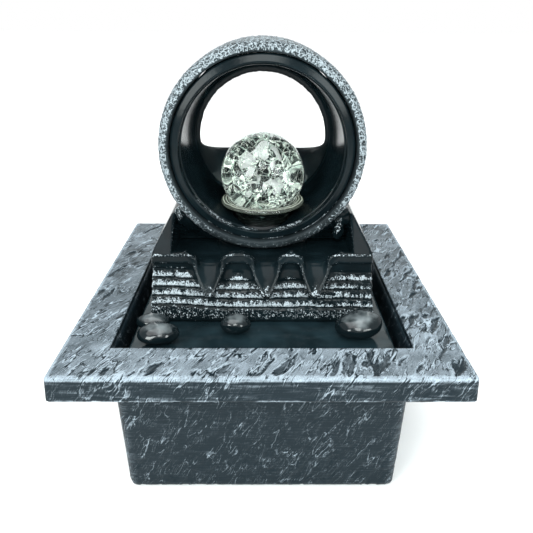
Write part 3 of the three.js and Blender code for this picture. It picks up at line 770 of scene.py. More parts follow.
def slate_tub(settings):
    """The tub, with wrinkles outside, a smooth inside and four posts that carry the deck."""
    mesh = square_sweep("slate_tub", stepped(tub_section()), 155, 6)
    points, normals = read(mesh)
    flange = TUB[1][2] - 4.0
    reach = np.abs(points[:, :2]).max(1)
    facing_out = (normals[:, :2] * points[:, :2]).sum(1) > 0
    outside = ((reach > TUB_FOOT - 2.2) & (points[:, 2] < flange) & facing_out).astype(float)
    _, outline, crest = slate_texture(mesh, settings, settings.depth * 0.45, outside)
    points, normals = read(mesh)
    edge = smooth_step(np.abs(points[:, :2]).min(1), 71.5, 76.5)
    patches = layered(points, 40, 3, 71)
    silver = 0.01 + 0.02 * patches + 0.07 * crest - 0.06 * outline + 0.14 * edge
    paint(mesh, "silver", np.clip(silver * outside, 0, 1))
    tub = settle(mesh, "base", slate_finish(settings), "slate", "basin_tub")
    posts = [box_mesh("post", *corner_post(sx, sy), 0.6) for sx, sy in itertools.product((-1, 1), repeat=2)]
    merge(tub, posts)
    x, _, z = middle("inlet_nut")
    drill(tub, turned("inlet_bore", rod_profile(INLET_BORE, 60.0, 95.0), (x, 0, z), "Y", 40), "FAST")
    return tub


def corner_post(side_x, side_y):
    """Lowest and highest corners of the post in one corner of the tub."""
    inner, outer, top = POST
    xs = sorted((side_x * inner, side_x * outer))
    ys = sorted((side_y * inner, side_y * outer))
    return (xs[0], ys[0], TUB[0][2] + 2.0), (xs[1], ys[1], top)


# ---------------------------------------------------------------- Black resin: deck, block, rocks and pebbles

DECK_SKIN = 2.5
# half sizes along x and y, middles along x, middle along y and rounding of the holes in the deck
DECK_OPENING = (50, 26.5, (0,), 7.5, 0.5)
DECK_SLOTS = (7, 1.75, (-44, -22, 0, 22, 44), 59.75, 0.4)


def resin_finish(settings):
    """Glossy black resin with silver brushed on what stands proud."""
    if "brushed_resin" in bpy.data.materials:
        return bpy.data.materials["brushed_resin"]
    return brushed_over(
        "brushed_resin", settings.black, settings.silver,
        softness=0.34, grain=0.65, gloss=0.17, matt=0.5, bump=0.35, streaks=(1.0, 1.0, 1.5),
    )


def pool_finish(settings):
    """Wet, slightly paler resin for the floor of the pool."""
    floor = tuple(2.4 * part for part in settings.black)
    return brushed_over(
        "pool_resin", floor, settings.silver, softness=0.30, grain=0.9, gloss=0.12, matt=0.5, bump=0.35
    )


def pool_deck(settings):
    """The black floor of the pool, cast with a gentle swell."""
    low, high = DECK
    step = 1.15
    start = low - 3
    x, y, z = grid(start, high + 3, step)
    half, under = high[0], high[2] - DECK_SKIN
    rim = common(0.6, np.abs(x) - half, np.abs(y) - half)
    plate = common(0.8, rim, z - high[2], low[2] - z)
    hollow = common(0.5, np.abs(x) - (half - 2), np.abs(y) - (half - 2), z - under)
    body = carve(plate, hollow, 0.5)
    for half_x, half_y, middles_x, middle_y, edge in (DECK_OPENING, DECK_SLOTS):
        for middle_x in middles_x:
            hole = common(0.5, np.abs(x - middle_x) - half_x, np.abs(y - middle_y) - half_y)
            body = carve(body, hole, edge)
    mesh = cast("pool_deck", body, start, step)
    points, normals = read(mesh)
    top = smooth_step(normals[:, 2], 0.5, 0.9) * (points[:, 2] > under + 1)
    points[:, 2] += top * (layered(points, 22, 3, 90) * 0.35 - 0.2)
    write(mesh, points)
    # Soft pale patches on the deck's top are painted reflections.
    paint(mesh, "silver", 0.13 * smooth_step(layered(points, 18, 3, 95), 0.1, 0.6) * top)
    return settle(mesh, "top", pool_finish(settings), "black_resin", "deck")


SPOUTS = [(-30.5, -30.8), (1.8, 2.4), (30.9, 29.9)]  # x of each spout at its top and at its tip
SPOUT_TIP = (-44.2, 112.6)  # y and z
TROUGH_FLOOR = 127.3
TROUGH_FRONT, TROUGH_BACK = -28.3, 41.0
SHOULDER = 52.0  # where the shoulders beside the trough start
SHOULDER_RISE = 15.5
SHOULDER_SLOPE, SHOULDER_FRONT, SHOULDER_BACK = 1.72, 0.62, 1.6  # how steeply each side of a shoulder climbs
MERLON_TOP = 133.0  # top of the wall between the spouts
CORNICE_FOOT, CORNICE_FRONT = 127.5, -33.9
CHUTE_START, CHUTE_HALF, CHUTE_NARROWING, CHUTE_DROP = -25.0, 8.8, 6.0, 14.2
WALL_FOOT, WALL_HEAD = -36.2, -31.3  # y of the front wall at its foot and under the cornice
FRONT_BATTER, SIDE_BATTER, BACK_BATTER = 0.152, 0.088, 0.058  # how much each wall leans back
BLOCK_ROOM = (61.0, -28.0, 43.0)  # half width, front and back of the hollow under the block
NOZZLE_BORE, SCREW_BORE = 13.0, 1.9  # radii
BORE_LOW, BORE_HIGH = 110, 140  # from below the trough's floor to above it
ROCK_INNER, ROCK_OUTER, ROCK_SLOPE = 28.0, 54.2, 1.33
# how far out, how high and how tall the nub on each rock is; the nub takes silver on its worn edges and a
# painted highlight
NUBS = {"rock_left": (50.0, 145.5, 6.0), "rock_right": (46.5, 137.0, 7.5)}
PEBBLE_HIGHLIGHT = (0.20, 0.23, 0.24)
COURSES_FOOT = 98.6  # height of the lowest joint


def block_half(z):
    """Half the width of the block at a height."""
    base = BLOCK[1][0]
    return base - (z - BLOCK[0][2]) * SIDE_BATTER


def spout_field(x, y, z, top_x, tip_x):
    """One spout: a tongue that grows out of the wall between two arches."""
    tip_y, tip_z = SPOUT_TIP
    rise = np.clip((z - tip_z) / (MERLON_TOP - 3 - tip_z), 0, 1.2)
    centre = tip_x + (top_x - tip_x) * rise
    flank = np.abs(x - centre) - (3.1 + 7.6 * rise**0.75 + 5.5 * np.clip(rise - 0.62, 0, 1) ** 1.3)
    nose = (tip_y + 11.0 * rise**0.8) - y
    under = (tip_z - 1.6 - (y - tip_y) * 0.55) - z
    return common(1.6, flank * 0.8, nose * 0.85, under * 0.87, z - MERLON_TOP, y + 29.5)


def chute_field(x, y, z, top_x, tip_x):
    """The round-bottomed channel that runs out of the trough and down a spout."""
    ahead = np.clip((CHUTE_START - y) / (CHUTE_START - SPOUT_TIP[0]), 0, 1.25)
    centre = top_x + (tip_x - top_x) * ahead
    flare = 2.4 * np.clip((z - MERLON_TOP + 4) / 4, 0, 1) ** 2
    across = np.abs(x - centre) / (CHUTE_HALF - CHUTE_NARROWING * ahead)
    floor = TROUGH_FLOOR - CHUTE_DROP * ahead**1.5 + 2.2 * across**2.5
    return common(1.0, (floor - z) * 0.62, (across - 1) * 3.5 - flare, y + 20)


def shoulder_top(x, y):
    """Height of the sloping shoulders beside the trough, and of the wall elsewhere."""
    side = (block_half(MERLON_TOP) - np.abs(x)) * SHOULDER_SLOPE + 0.4
    ahead = (y + 33.0) * SHOULDER_FRONT
    behind = (BLOCK[1][1] - 2.2 - y) * SHOULDER_BACK
    roof = np.minimum(np.minimum(side, ahead), np.minimum(behind, SHOULDER_RISE))
    return MERLON_TOP + np.where(np.abs(x) > SHOULDER, np.maximum(roof, 0), 0)


def block_field(x, y, z):
    """The block: a battered wall with a cornice, a trough, shoulders and three spouts."""
    low, high = BLOCK
    wall = np.minimum(WALL_FOOT + (z - low[2]) * FRONT_BATTER, WALL_HEAD)
    cornice = CORNICE_FRONT + 0.05 * (z - MERLON_TOP)
    front = np.where(z > CORNICE_FOOT, np.minimum(wall, cornice), wall) - y
    back = y - (high[1] - (z - low[2]) * BACK_BATTER)
    sides = np.abs(x) - block_half(z)
    top = (z - shoulder_top(x, y)) * 0.7
    body = common(1.1, sides, front, back, top, low[2] - z)
    trough = common(2.2, np.abs(x) - SHOULDER, TROUGH_FRONT - y, y - TROUGH_BACK, TROUGH_FLOOR - z)
    body = carve(body, trough, 0.9)
    for top_x, tip_x in SPOUTS:
        body = melt(body, spout_field(x, y, z, top_x, tip_x), 2.2)
    for top_x, tip_x in SPOUTS:
        body = carve(body, chute_field(x, y, z, top_x, tip_x), 2.4)
    return body


def block_hollow(x, y, z):
    """The space under the block, less the bosses that its screws bite into."""
    half, front, back = BLOCK_ROOM
    room = common(2.0, np.abs(x) - half, front - y, y - back, z - (TROUGH_FLOOR - 3))
    for corner in CORNERS:
        at = middle(f"deck_screw_{corner}")
        boss = common(1.0, np.abs(x - at[0] * 1.04) - 6, np.abs(y - at[1]) - 6.5, z - 108)
        room = carve(room, boss, 1.0)
    return room


def rod_field(x, y, z, at, radius, low, high):
    """An upright rod."""
    return common(0.3, np.sqrt((x - at[0]) ** 2 + (y - at[1]) ** 2) - radius, z - high, low - z)


def brick_relief(points, normals, settings):
    """Relief of the brick courses, where they are, and how much silver they take."""
    x, y, z = points.T
    wall = smooth_step(np.abs(normals[:, 2]), 0.62, 0.35)
    bay = np.min([np.abs(x - tip) for _, tip in SPOUTS], 0)
    # Under each merlon the courses stop lower and leave an arch of bare black resin: real bare resin, and
    # painted shade of the overhang under the cornice.
    shaded_arch = 125.5 - 6.5 * smooth_step(bay, 17.0, 8.0) * smooth_step(np.abs(x), 47, 40)
    shaded_arch = shaded_arch - 3.5 * smooth_step(x, 40, 50) - 2.5 * smooth_step(np.abs(x), 42, 36)
    on_front = smooth_step(-normals[:, 1], 0.4, 0.75)
    shaded_arch = np.where(on_front > 0.5, shaded_arch, 127.0)
    front_wall = smooth_step(y + 37.4 - (z - 89.8) * 0.15, -0.6, 0.4)
    zone = wall * smooth_step(shaded_arch - z, -0.5, 5.0) * front_wall
    lean = 2.2 * smooth_step(-x, 12, 70) * on_front
    wobble = layered(points * [1, 1, 0.2], 26, 3, 101) * 0.6
    wobble = wobble + noise(points * [1, 1, 0.5], 5, 105) * 0.25 - lean
    course = (z - COURSES_FOOT + wobble) / settings.course
    up = course - np.floor(course)
    inside = np.minimum(up, 1 - up) * settings.course
    gap = 0.45 + 0.25 * noise(points * [1, 1, 0.3], 9, 107)
    laid = smooth_step(course, -0.35, -0.1)
    joint = smooth_step(inside, gap + 0.5, gap - 0.1) * laid
    teeth = noise(points * [1, 1, 0.22], 1.7, 110)
    chisel = noise(points * [1, 1, 0.75], 1.9, 112) * 0.55 + noise(points, 1.0, 113) * 0.35
    height = zone * (0.30 * chisel + 0.35 * teeth * laid - settings.groove * joint - 0.25 * up * laid)
    right = smooth_step(x, 5, 40)
    drop = 0.94 - 0.20 * right - (0.95 - 0.15 * right) * np.clip(up - 0.2, 0, 1)
    drop = drop + 0.42 * teeth + 0.15 * chisel
    plinth = 0.38 + 0.34 * chisel - 0.30 * smooth_step(z, 94.0, 90.0)
    silver = zone * (laid * drop + (1 - laid) * plinth) * (1 - joint)
    return height, zone, silver


def brick_block(settings):
    """The brick-look block with its trough and spouts, hollow underneath."""
    step = 0.8
    low, high = BLOCK[0] - [3, 3, 3], BLOCK[1] + [3, 3, 3]
    x, y, z = grid(low, high, step)
    body = carve(block_field(x, y, z), block_hollow(x, y, z), 0.6)
    screws = [(middle(f"ring_screw_{side}"), SCREW_BORE) for side in ("left", "right")]
    for at, radius in [(BALL, NOZZLE_BORE), *screws]:
        body = carve(body, rod_field(x, y, z, at, radius, BORE_LOW, BORE_HIGH), 0.3)
    mesh = cast("brick_block", body, low, step)
    points, normals = read(mesh)
    on_side = np.abs(points[:, 0]) > 62.0 - (points[:, 2] - 90) * 0.03
    outer = (points[:, 1] < -30.5) | on_side | (points[:, 1] > 43.8)
    outer = outer & (points[:, 2] > BLOCK[0][2] + 0.5)
    height, zone, silver = brick_relief(points, normals, settings)
    write(mesh, points + normals * (height * outer)[:, None])
    worn = smooth_step(proud(mesh, 6), 0.10, 0.30)
    points, normals = read(mesh)
    above = smooth_step(points[:, 2], 104, 112)
    # Silver streaks on the spouts' noses are a painted highlight on their wet tips.
    nose_highlights = sum(
        np.exp(-(((points[:, 0] - tip) / 2.2) ** 2) - ((points[:, 2] - SPOUT_TIP[1] - 1) / 3.6) ** 2)
        for _, tip in SPOUTS
    ) * smooth_step(-points[:, 1], 36, 41)
    brow = smooth_step(np.abs(points[:, 2] - MERLON_TOP + 0.7), 0.8, 0.2)
    brow = brow * smooth_step(-points[:, 1], 32.0, 33.2) * (0.26 + 0.35 * noise(points, 7, 122))
    silver = silver * outer + 0.28 * worn * above * (1 - zone) + brow
    silver = silver + (0.52 + 0.4 * noise(points, 2.5, 121)) * nose_highlights
    paint(mesh, "silver", np.clip(silver, 0, 1))
    return settle(mesh, "top", resin_finish(settings), "black_resin", "waterfall_block")


def rock(side, settings):
    """One of the two rocks that cradle the ring. side is -1 on the left and 1 on the right."""
    name = "rock_left" if side < 0 else "rock_right"
    low, high = span(name)
    step = 0.55
    start = low - [2, 2, 1]
    x, y, z = grid(start, high + [2, 2, 2], step)
    across = side * x
    slope = (z - 148.0) + (across - ROCK_OUTER) * ROCK_SLOPE
    front = low[1] + 1.2 + 0.6 * np.maximum(143 - z, 0)
    ends = common(1.6, across - ROCK_OUTER, ROCK_INNER - across, (front - y) * 0.85, y - high[1] + 0.5)
    body = common(1.6, ends, z - high[2], slope * 0.6, low[2] - z)
    body = meet(body, (z - 135) - (across - ROCK_INNER) * 1.12, 1.2)
    nub_x, nub_z, nub_height = NUBS[name]
    nub = np.sqrt((across - nub_x) ** 2 + (y - low[1] - 3) ** 2 + ((z - nub_z) * 4 / nub_height) ** 2) - 4
    body = melt(body, nub, 1.0)
    ring = np.sqrt(x**2 + (z - RING_CENTRE) ** 2) - (RING_RADIUS + 0.5)
    mesh = cast(name + "_cast", carve(body, ring, 0.5), start, step)
    points, normals = read(mesh)
    away = np.sqrt(points[:, 0] ** 2 + (points[:, 2] - RING_CENTRE) ** 2) - RING_RADIUS
    lumps = (layered(points, 9, 3, 130 + side) * 0.9 - 0.7) * smooth_step(away, 0.6, 2.0)
    write(mesh, points + normals * (lumps * (points[:, 2] > low[2] + 1))[:, None])
    worn = smooth_step(proud(mesh, 10), 0.05, 0.3)
    points, normals = read(mesh)
    # Silver on the nub is brushed on its worn edges, with a painted highlight on the faces turned to the
    # front and up.
    lit = smooth_step(normals @ np.array([-0.2 * side, -0.62, 0.75]), 0.35, 0.9)
    lit = lit * (0.75 + 0.5 * noise(points, 4, 131))
    on_nub = smooth_step(np.abs(points[:, 0] * side - nub_x), 6, 3)
    on_nub = on_nub * smooth_step(nub_z - points[:, 2], nub_height, 3)
    silver = (0.06 + 0.3 * worn + 0.42 * lit) * on_nub * smooth_step(-points[:, 1], -6, 2)
    paint(mesh, "silver", np.clip(silver, 0, 1))
    return settle(mesh, "top", resin_finish(settings), "rough_resin", name)


def pebble_finish(settings):
    """Wet black stone, paler on top."""
    made, graph, shader, at = material("pebble_stone")
    blotch = graph.noise(at, 0.12 / MM, 2.5, 0.6)
    cover = graph.step(graph.math("ADD", blotch, graph.asked()), 1.20, 1.90)
    graph.dress(
        shader,
        Base_Color=graph.mix(cover, rgba(settings.black), rgba(PEBBLE_HIGHLIGHT)),
        Roughness=graph.step(blotch, 0.3, 0.7, 0.10, 0.22),
    )
    graph.bump(shader, blotch, 0.12, 0.3)
    return made


def pebble(name, finish, lean, seed):
    """One glossy pebble, pressed a little flat and never quite even."""
    low, high = span(name)
    size = (high - low) / 2
    centre = (low + high) / 2
    rows, count = 40, 72
    unit = unit_sphere(rows, count)
    grow = 1 + 0.07 * noise(unit, 0.9, seed) + 0.03 * noise(unit, 0.4, seed + 1)
    points = unit * grow[:, None]
    points[:, 2] = np.where(points[:, 2] < 0, points[:, 2] * 0.9, points[:, 2])
    points[:, 0] += lean * points[:, 2] * 0.25
    limit = np.abs(points).max(0)
    points = points / limit * size * 1.02 + centre
    points[:, 2] = np.maximum(points[:, 2], low[2])
    mesh = new_mesh(name + "_stone", points, outward(points, loops_to_quads(rows, count)))
    weld(mesh)
    points, normals = read(mesh)
    # The attribute places the painted highlight on faces turned up and a little to the front.
    paint(mesh, "silver", smooth_step(normals[:, 2] - 0.25 * normals[:, 1], 0.35, 1.1))
    return settle(mesh, "top", finish, "black_resin", name)


# ---------------------------------------------------------------- Ring

BAND_INNER = 52.5
LINER_WALL, LINER_SEAT = 2.8, 52.1
WINDOW_RADIUS, WINDOW_CENTRE, WINDOW_SILL, WINDOW_CORNER = 40.6, 185.0, 178.3, 5.0
LIGHT_BORE = 18.1


def ring_profile():
    """The band's section: rounded outside, square inside, as [radius, y]."""
    front, back = RING[0][1], RING[1][1]
    corners = [
        (BAND_INNER, front + 0.8),
        (BAND_INNER + 1.2, front + 0.2),
        (RING_RADIUS - 2.6, front + 0.5),
        (RING_RADIUS - 0.6, front + 3.0),
        (RING_RADIUS, front + 8.0),
        (RING_RADIUS, back - 6.0),
        (RING_RADIUS - 1.6, back),
        (BAND_INNER, back),
    ]
    return refine(corners, 0.8, 0.8)


def ring_band(settings):
    """The rough outer band of the ring."""
    finish = brushed_over(
        "speckled_resin", (0.016, 0.022, 0.025), (0.32, 0.37, 0.40),
        softness=0.75, grain=0.7, gloss=0.42, matt=0.6, bump=0.6, veins=0.45,
    )
    mesh = turned("ring_band", ring_profile(), (0, 0, RING_CENTRE), "Y", 460)
    points, normals = read(mesh)
    radius = np.hypot(points[:, 0], points[:, 2] - RING_CENTRE)
    rough = smooth_step(radius, 52.8, 54.0)
    cell = noise(points, settings.chips, settings.seed) * 0.7
    cell = cell + noise(points, settings.chips * 0.45, settings.seed + 1) * 0.5
    grit = noise(points, 1.1, settings.seed + 2)
    crag = -np.abs(cell) * 1.1 + 0.35 * grit
    write(mesh, points + normals * (rough * crag * settings.relief)[:, None])
    worn = proud(mesh, 8)
    points, normals = read(mesh)
    low_down = smooth_step(points[:, 2], RING_CENTRE - 62, RING_CENTRE - 15)
    vein = smooth_step(np.abs(noise(points, 7, 61)), 0.10, 0.0)
    silver = 0.08 + 0.50 * low_down + 0.40 * worn + 0.12 * grit + 0.20 * vein * low_down
    seam = smooth_step(radius, 52.7, 53.3)
    paint(mesh, "silver", np.clip(silver * rough * seam, 0, 1))
    return settle(mesh, "top", finish, "rough_resin", "ring_shell")


def liner_profile():
    """The liner's section from the middle of its back wall round to its mouth, as [radius, y]."""
    front, back = LINER[0][1], LINER[1][1]
    seat, inside = LINER_SEAT, back - LINER_WALL
    return [
        (42.3, back),
        (seat, back),
        (seat, back - 3),
        (47.3, back - 5),
        (49.1, front + 6),
        (seat, front + 4),
        (seat, front + 2.2),
        (51.7, front + 1.5),
        (47.5, front + 0.1),
        (47.1, front + 0.3),
        (46.9, front + 3.6),
        (46.4, front + 4.2),
        (46.2, front + 4.2),
        (46.0, front + 5.0),
        (45.0, inside - 22),
        (44.6, inside - 10),
        (43.9, inside - 4),
        (43.1, inside - 1),
        (42.3, inside),
    ]


def window_loop(count):
    """The window's outline: round above, with a flat sill and small round corners below."""
    loop = []
    for angle in np.linspace(0, 2 * math.pi, count, endpoint=False):
        c, s = math.cos(angle), math.sin(angle)
        reach = min(WINDOW_RADIUS, (WINDOW_CENTRE - WINDOW_SILL) / -s) if s < 0 else WINDOW_RADIUS
        loop.append((reach * c, reach * s + WINDOW_CENTRE))
    loop = np.array(loop)
    for _ in range(int(WINDOW_CORNER * 2)):
        loop = (np.roll(loop, 1, 0) + 2 * loop + np.roll(loop, -1, 0)) / 4
    flat = np.column_stack([loop, np.zeros(count)])
    nick = 0.22 * noise(flat, 4, 64) + 0.22 * noise(flat, 1.6, 65)
    nick = nick * (loop[:, 1] > WINDOW_CENTRE + 10)
    return loop - nick[:, None] * (loop - [0, WINDOW_CENTRE]) / WINDOW_RADIUS


def ring_frame(settings):
    """The smooth liner: a stepped frame, a deep round wall and a back wall with a window."""
    count = 256
    front, back = LINER[0][1], LINER[1][1]
    angle = np.linspace(0, 2 * math.pi, count, endpoint=False)
    rings = [
        np.column_stack([r * np.cos(angle), np.full(count, y), r * np.sin(angle) + RING_CENTRE])
        for r, y in refine(liner_profile(), 0.8)
    ]
    inside = back - LINER_WALL
    window = window_loop(count) - [0, WINDOW_CENTRE]
    for y, inset in [(inside, 0.0), (inside + 0.3, 0.5), (back - 0.3, 0.5), (back, 0.0)]:
        x, z = (window * (1 - inset / 40)).T
        rings.append(np.column_stack([x, np.full(count, y), z + WINDOW_CENTRE]))
    points = np.concatenate(rings)
    mesh = new_mesh("ring_frame", points, outward(points, loops_to_quads(len(rings), count, True)))
    made = settle(mesh, "top", resin_finish(settings), "black_resin", "ring_liner")
    bore = turned("light_bore", rod_profile(LIGHT_BORE, 110.0, 165.0), (BALL[0], BALL[1], 0), "Z", 64)
    drill(made, bore, "EXACT")
    points, _ = read(made.data)
    radius = np.hypot(points[:, 0], points[:, 2] - RING_CENTRE)
    sine = (points[:, 2] - RING_CENTRE) / np.maximum(radius, 1)
    below = smooth_step(-sine, 0.35, 0.75)
    at_mouth = smooth_step(-points[:, 1], -front - 5.5, -front - 3.5)
    # Silver lines along the frame's outer and inner edges are stronger on the lower arc and broken into
    # patches. They are brushed silver plus a painted highlight on the thin bright edge lines.
    edges = np.exp(-(((radius - 51.8) / 0.45) ** 2)) + 0.8 * np.exp(-(((radius - 46.7) / 0.5) ** 2))
    lit = smooth_step(noise(points, 9, 5) + 0.4 * noise(points, 3, 6), -0.35, 0.3)
    paint(made.data, "silver", np.clip((0.12 + 0.75 * below) * edges * at_mouth * lit, 0, 1))
    return made


# ---------------------------------------------------------------- Ball and cup

WATER_FILM = 0.6  # gap between the ball and its cup
SHARD_DEPTH, CRACK_DEPTH = 1.0, 0.8  # how far the shards and the cracks stay under the ball's surface
SHARD_SIZES = (7.0, 2.6, 1.2)
CUP_FLOOR = 142.2


def crystal_finish(settings):
    """Clear glass with a faint swirl in its surface."""
    made, graph, shader, at = material("crystal_glass")
    ripple = graph.noise(at, 0.06 / MM, 2.0)
    roughness = graph.step(ripple, 0.3, 0.7, 0.01, 0.02)
    graph.dress(
        shader, Base_Color=rgba(settings.tint), Roughness=roughness, Transmission_Weight=1.0, IOR=1.33
    )
    graph.bump(shader, ripple, 0.1, 0.2)
    return made


def crack_finish():
    """A crack in the glass: bright flakes and fine lines with clear gaps between them."""
    made, graph, shader, at = material("crackle")
    bent = graph.waved(at, 0.35 / MM, 1.6 * MM)
    parts = graph.cells(bent, 0.60 / MM)
    flake = graph.step(parts[0], 0.60, 0.75)
    line = graph.step(graph.cell_edges(bent, 0.60 / MM), 0.0, 0.05, 1.0, 0.0)
    # Emission on the flakes and lines is painted light of the lamp below, caught in the cracks.
    glow = graph.math("MULTIPLY_ADD", flake, 0.24, graph.math("MULTIPLY", line, 0.35))
    shown = graph.math("MULTIPLY_ADD", flake, 0.40, graph.math("MULTIPLY_ADD", line, 0.45, 0.02))
    graph.dress(
        shader,
        Base_Color=graph.mix(parts[1], (0.16, 0.24, 0.21, 1.0), (0.60, 0.68, 0.62, 1.0)),
        Metallic=0.7,
        Roughness=0.12,
        Emission_Color=graph.mix(parts[1], (0.45, 0.66, 0.54, 1.0), (0.95, 1.0, 0.90, 1.0)),
        Emission_Strength=glow,
        Alpha=graph.math("MINIMUM", shown, 1.0),
    )
    graph.bump(shader, parts[2], 0.8, 0.8)
    return made


def shard_finish():
    """Shards under the ball's surface, each as bright as chance has it, with bright lines between some."""
    made, graph, shader, at = material("shards")
    bent = graph.waved(at, 0.16 / MM, 5.0 * MM)
    # There are more shards low down, where the crackle is thicker and takes more of the painted glow of the
    # lamp below.
    crowd = graph.step(graph.height(at), 0.148, 0.172, 0.22, -0.04)
    window = graph.step(graph.noise(at, 0.11 / MM, 1.0), 0.52, 0.62, 0.0, -0.6)
    crowd = graph.math("ADD", crowd, window)
    large, middling, small = (graph.cells(bent, 1 / (size * MM)) for size in SHARD_SIZES)
    to_large, to_middling = (
        graph.math("MULTIPLY", graph.cell_edges(bent, 1 / (size * MM)), size) for size in SHARD_SIZES[:2]
    )
    chance = graph.math("MULTIPLY_ADD", large[0], 0.55, graph.math("MULTIPLY_ADD", middling[0], 0.45, crowd))
    shard = graph.step(graph.math("MULTIPLY_ADD", small[0], 0.25, chance), 0.68, 0.74)
    line = graph.step(to_large, 0.0, 0.30, 1.0, 0.0)
    line = graph.math("MULTIPLY", line, graph.step(large[2], 0.3, 0.4))
    fine = graph.step(to_middling, 0.0, 0.16, 0.7, 0.0)
    fine = graph.math("MULTIPLY", fine, graph.step(middling[2], 0.4, 0.5))
    tint = graph.mix(small[1], (0.30, 0.42, 0.37, 1.0), (0.96, 1.0, 0.93, 1.0))
    # Each shard's emission is a painted glint, stronger in some shards than in others.
    painted_glint = graph.step(small[2], 0.55, 1.0, 0.06, 0.80)
    lines = graph.math("MULTIPLY", graph.math("ADD", line, fine), 0.45)
    solid = graph.step(small[1], 0.0, 1.0, 0.25, 0.95)
    shown = graph.math("MULTIPLY_ADD", line, 0.8, graph.math("MULTIPLY", fine, 0.7))
    shown = graph.math("MULTIPLY_ADD", shard, solid, shown)
    graph.dress(
        shader,
        Base_Color=tint,
        Emission_Color=tint,
        Emission_Strength=graph.math("MULTIPLY_ADD", shard, painted_glint, lines),
        Alpha=graph.math("MINIMUM", shown, 1.0),
        Roughness=0.15,
    )
    graph.bump(shader, middling[1], 0.6, 0.5)
    return made


def crackle_tree():
    """Scatters ragged, curved cracks inside the ball and leaves some of it clear."""
    inputs = {
        "Cracks": ("Int", 200),
        "Crack size": ("Float", 6.0),
        "Ball radius": ("Float", 25.0),
        "Seed": ("Int", 1),
        "Material": ("Material", None),
    }
    tree, graph, start, end = geometry_tree("crackle", inputs)

    def random(kind, low, high, extra, sockets):
        seed = graph.math("ADD", start.outputs["Seed"], float(extra))
        inputs = {sockets[0]: low, sockets[1]: high, "Seed": seed}
        return graph.add("FunctionNodeRandomValue", inputs, data_type=kind).outputs

    def below(value, limit):
        return graph.add("FunctionNodeCompare", {0: value, 1: limit}, operation="LESS_THAN").outputs[0]

    def without(geometry, selection):
        inputs = {"Geometry": geometry, "Selection": selection}
        return graph.add("GeometryNodeDeleteGeometry", inputs, domain="POINT").outputs[0]

    place = graph.add("GeometryNodeInputPosition").outputs[0]
    unit = graph.vector("NORMALIZE", random("FLOAT_VECTOR", (-1, -1, -1), (1, 1, 1), 1, (0, 1))[0])
    reach = graph.math("POWER", random("FLOAT", 0.0, 1.0, 2, (2, 3))[1], 0.36)
    radius = graph.math("MULTIPLY", start.outputs["Ball radius"], 0.90 * MM)
    spot = graph.scaled(unit, graph.math("MULTIPLY", reach, radius))
    points = graph.add("GeometryNodePoints", {"Count": start.outputs["Cracks"]})
    spread = graph.add("GeometryNodeSetPosition", {"Geometry": points.outputs[0], "Position": spot})
    # Cracks are kept mostly low down, so the painted glow of the lamp below gathers there.
    dense = graph.math("MULTIPLY_ADD", graph.height(place), -5.0, graph.noise(place, 0.075 / MM, 1.0))
    kept = without(spread.outputs[0], below(dense, 0.47))
    ball = graph.add("GeometryNodeMeshIcoSphere", {"Radius": 1.0 * MM, "Subdivisions": 3}).outputs[0]
    disc = without(ball, below(graph.height(place), 0.62 * MM))
    turn = random("FLOAT_VECTOR", (0, 0, 0), (6.283, 6.283, 6.283), 3, (0, 1))[0]
    size = graph.math("MULTIPLY", random("FLOAT", 0.25, 1.1, 4, (2, 3))[1], start.outputs["Crack size"])
    stamp = {"Points": kept, "Instance": disc, "Rotation": turn, "Scale": size}
    scattered = graph.add("GeometryNodeInstanceOnPoints", stamp)
    whole = graph.add("GeometryNodeRealizeInstances", {"Geometry": scattered.outputs[0]})
    sway = graph.vector("SUBTRACT", graph.coloured_noise(place, 0.22 / MM), (0.5, 0.5, 0.5))
    push = graph.scaled(sway, 9.0 * MM)
    bent = graph.add("GeometryNodeSetPosition", {"Geometry": whole.outputs[0], "Offset": push})
    dressing = {"Geometry": bent.outputs[0], "Material": start.outputs["Material"]}
    graph.feed(end.inputs["Geometry"], graph.add("GeometryNodeSetMaterial", dressing).outputs[0])
    return tree


def crackle(settings):
    """The cracks in the ball, as one thin-walled piece."""
    host = new_mesh("crackle_host", [(0, 0, 0), (1, 0, 0), (0, 1, 0)], [(0, 1, 2)])
    mesh = grown(
        "ball_crackle", host, crackle_tree(), Cracks=settings.cracks, Crack_size=settings.crack_size,
        Ball_radius=BALL_RADIUS, Seed=settings.seed, Material=crack_finish(),
    )
    points, _ = read(mesh)
    away = np.linalg.norm(points, axis=1)
    inwards = np.minimum(1.0, (BALL_RADIUS - CRACK_DEPTH) / np.maximum(away, 1e-6))
    write(mesh, points * inwards[:, None] + BALL)
    mesh.shade_smooth()
    return settle(mesh, "ball", mesh.materials[0], "crystal")


def sphere(name, radius):
    """A ball around the crystal ball's own centre."""
    rows, count = 64, 128
    points = unit_sphere(rows, count) * radius + BALL
    mesh = new_mesh(name, points, outward(points - BALL, loops_to_quads(rows, count)))
    weld(mesh)
    return mesh


def crystal_ball(settings):
    """The ball itself, with a layer of shards under its surface."""
    settle(sphere("ball_shards", BALL_RADIUS - SHARD_DEPTH), "ball", shard_finish(), "crystal")
    ball = sphere("glass_ball", BALL_RADIUS)
    return settle(ball, "ball", crystal_finish(settings), "crystal", "crystal_ball")


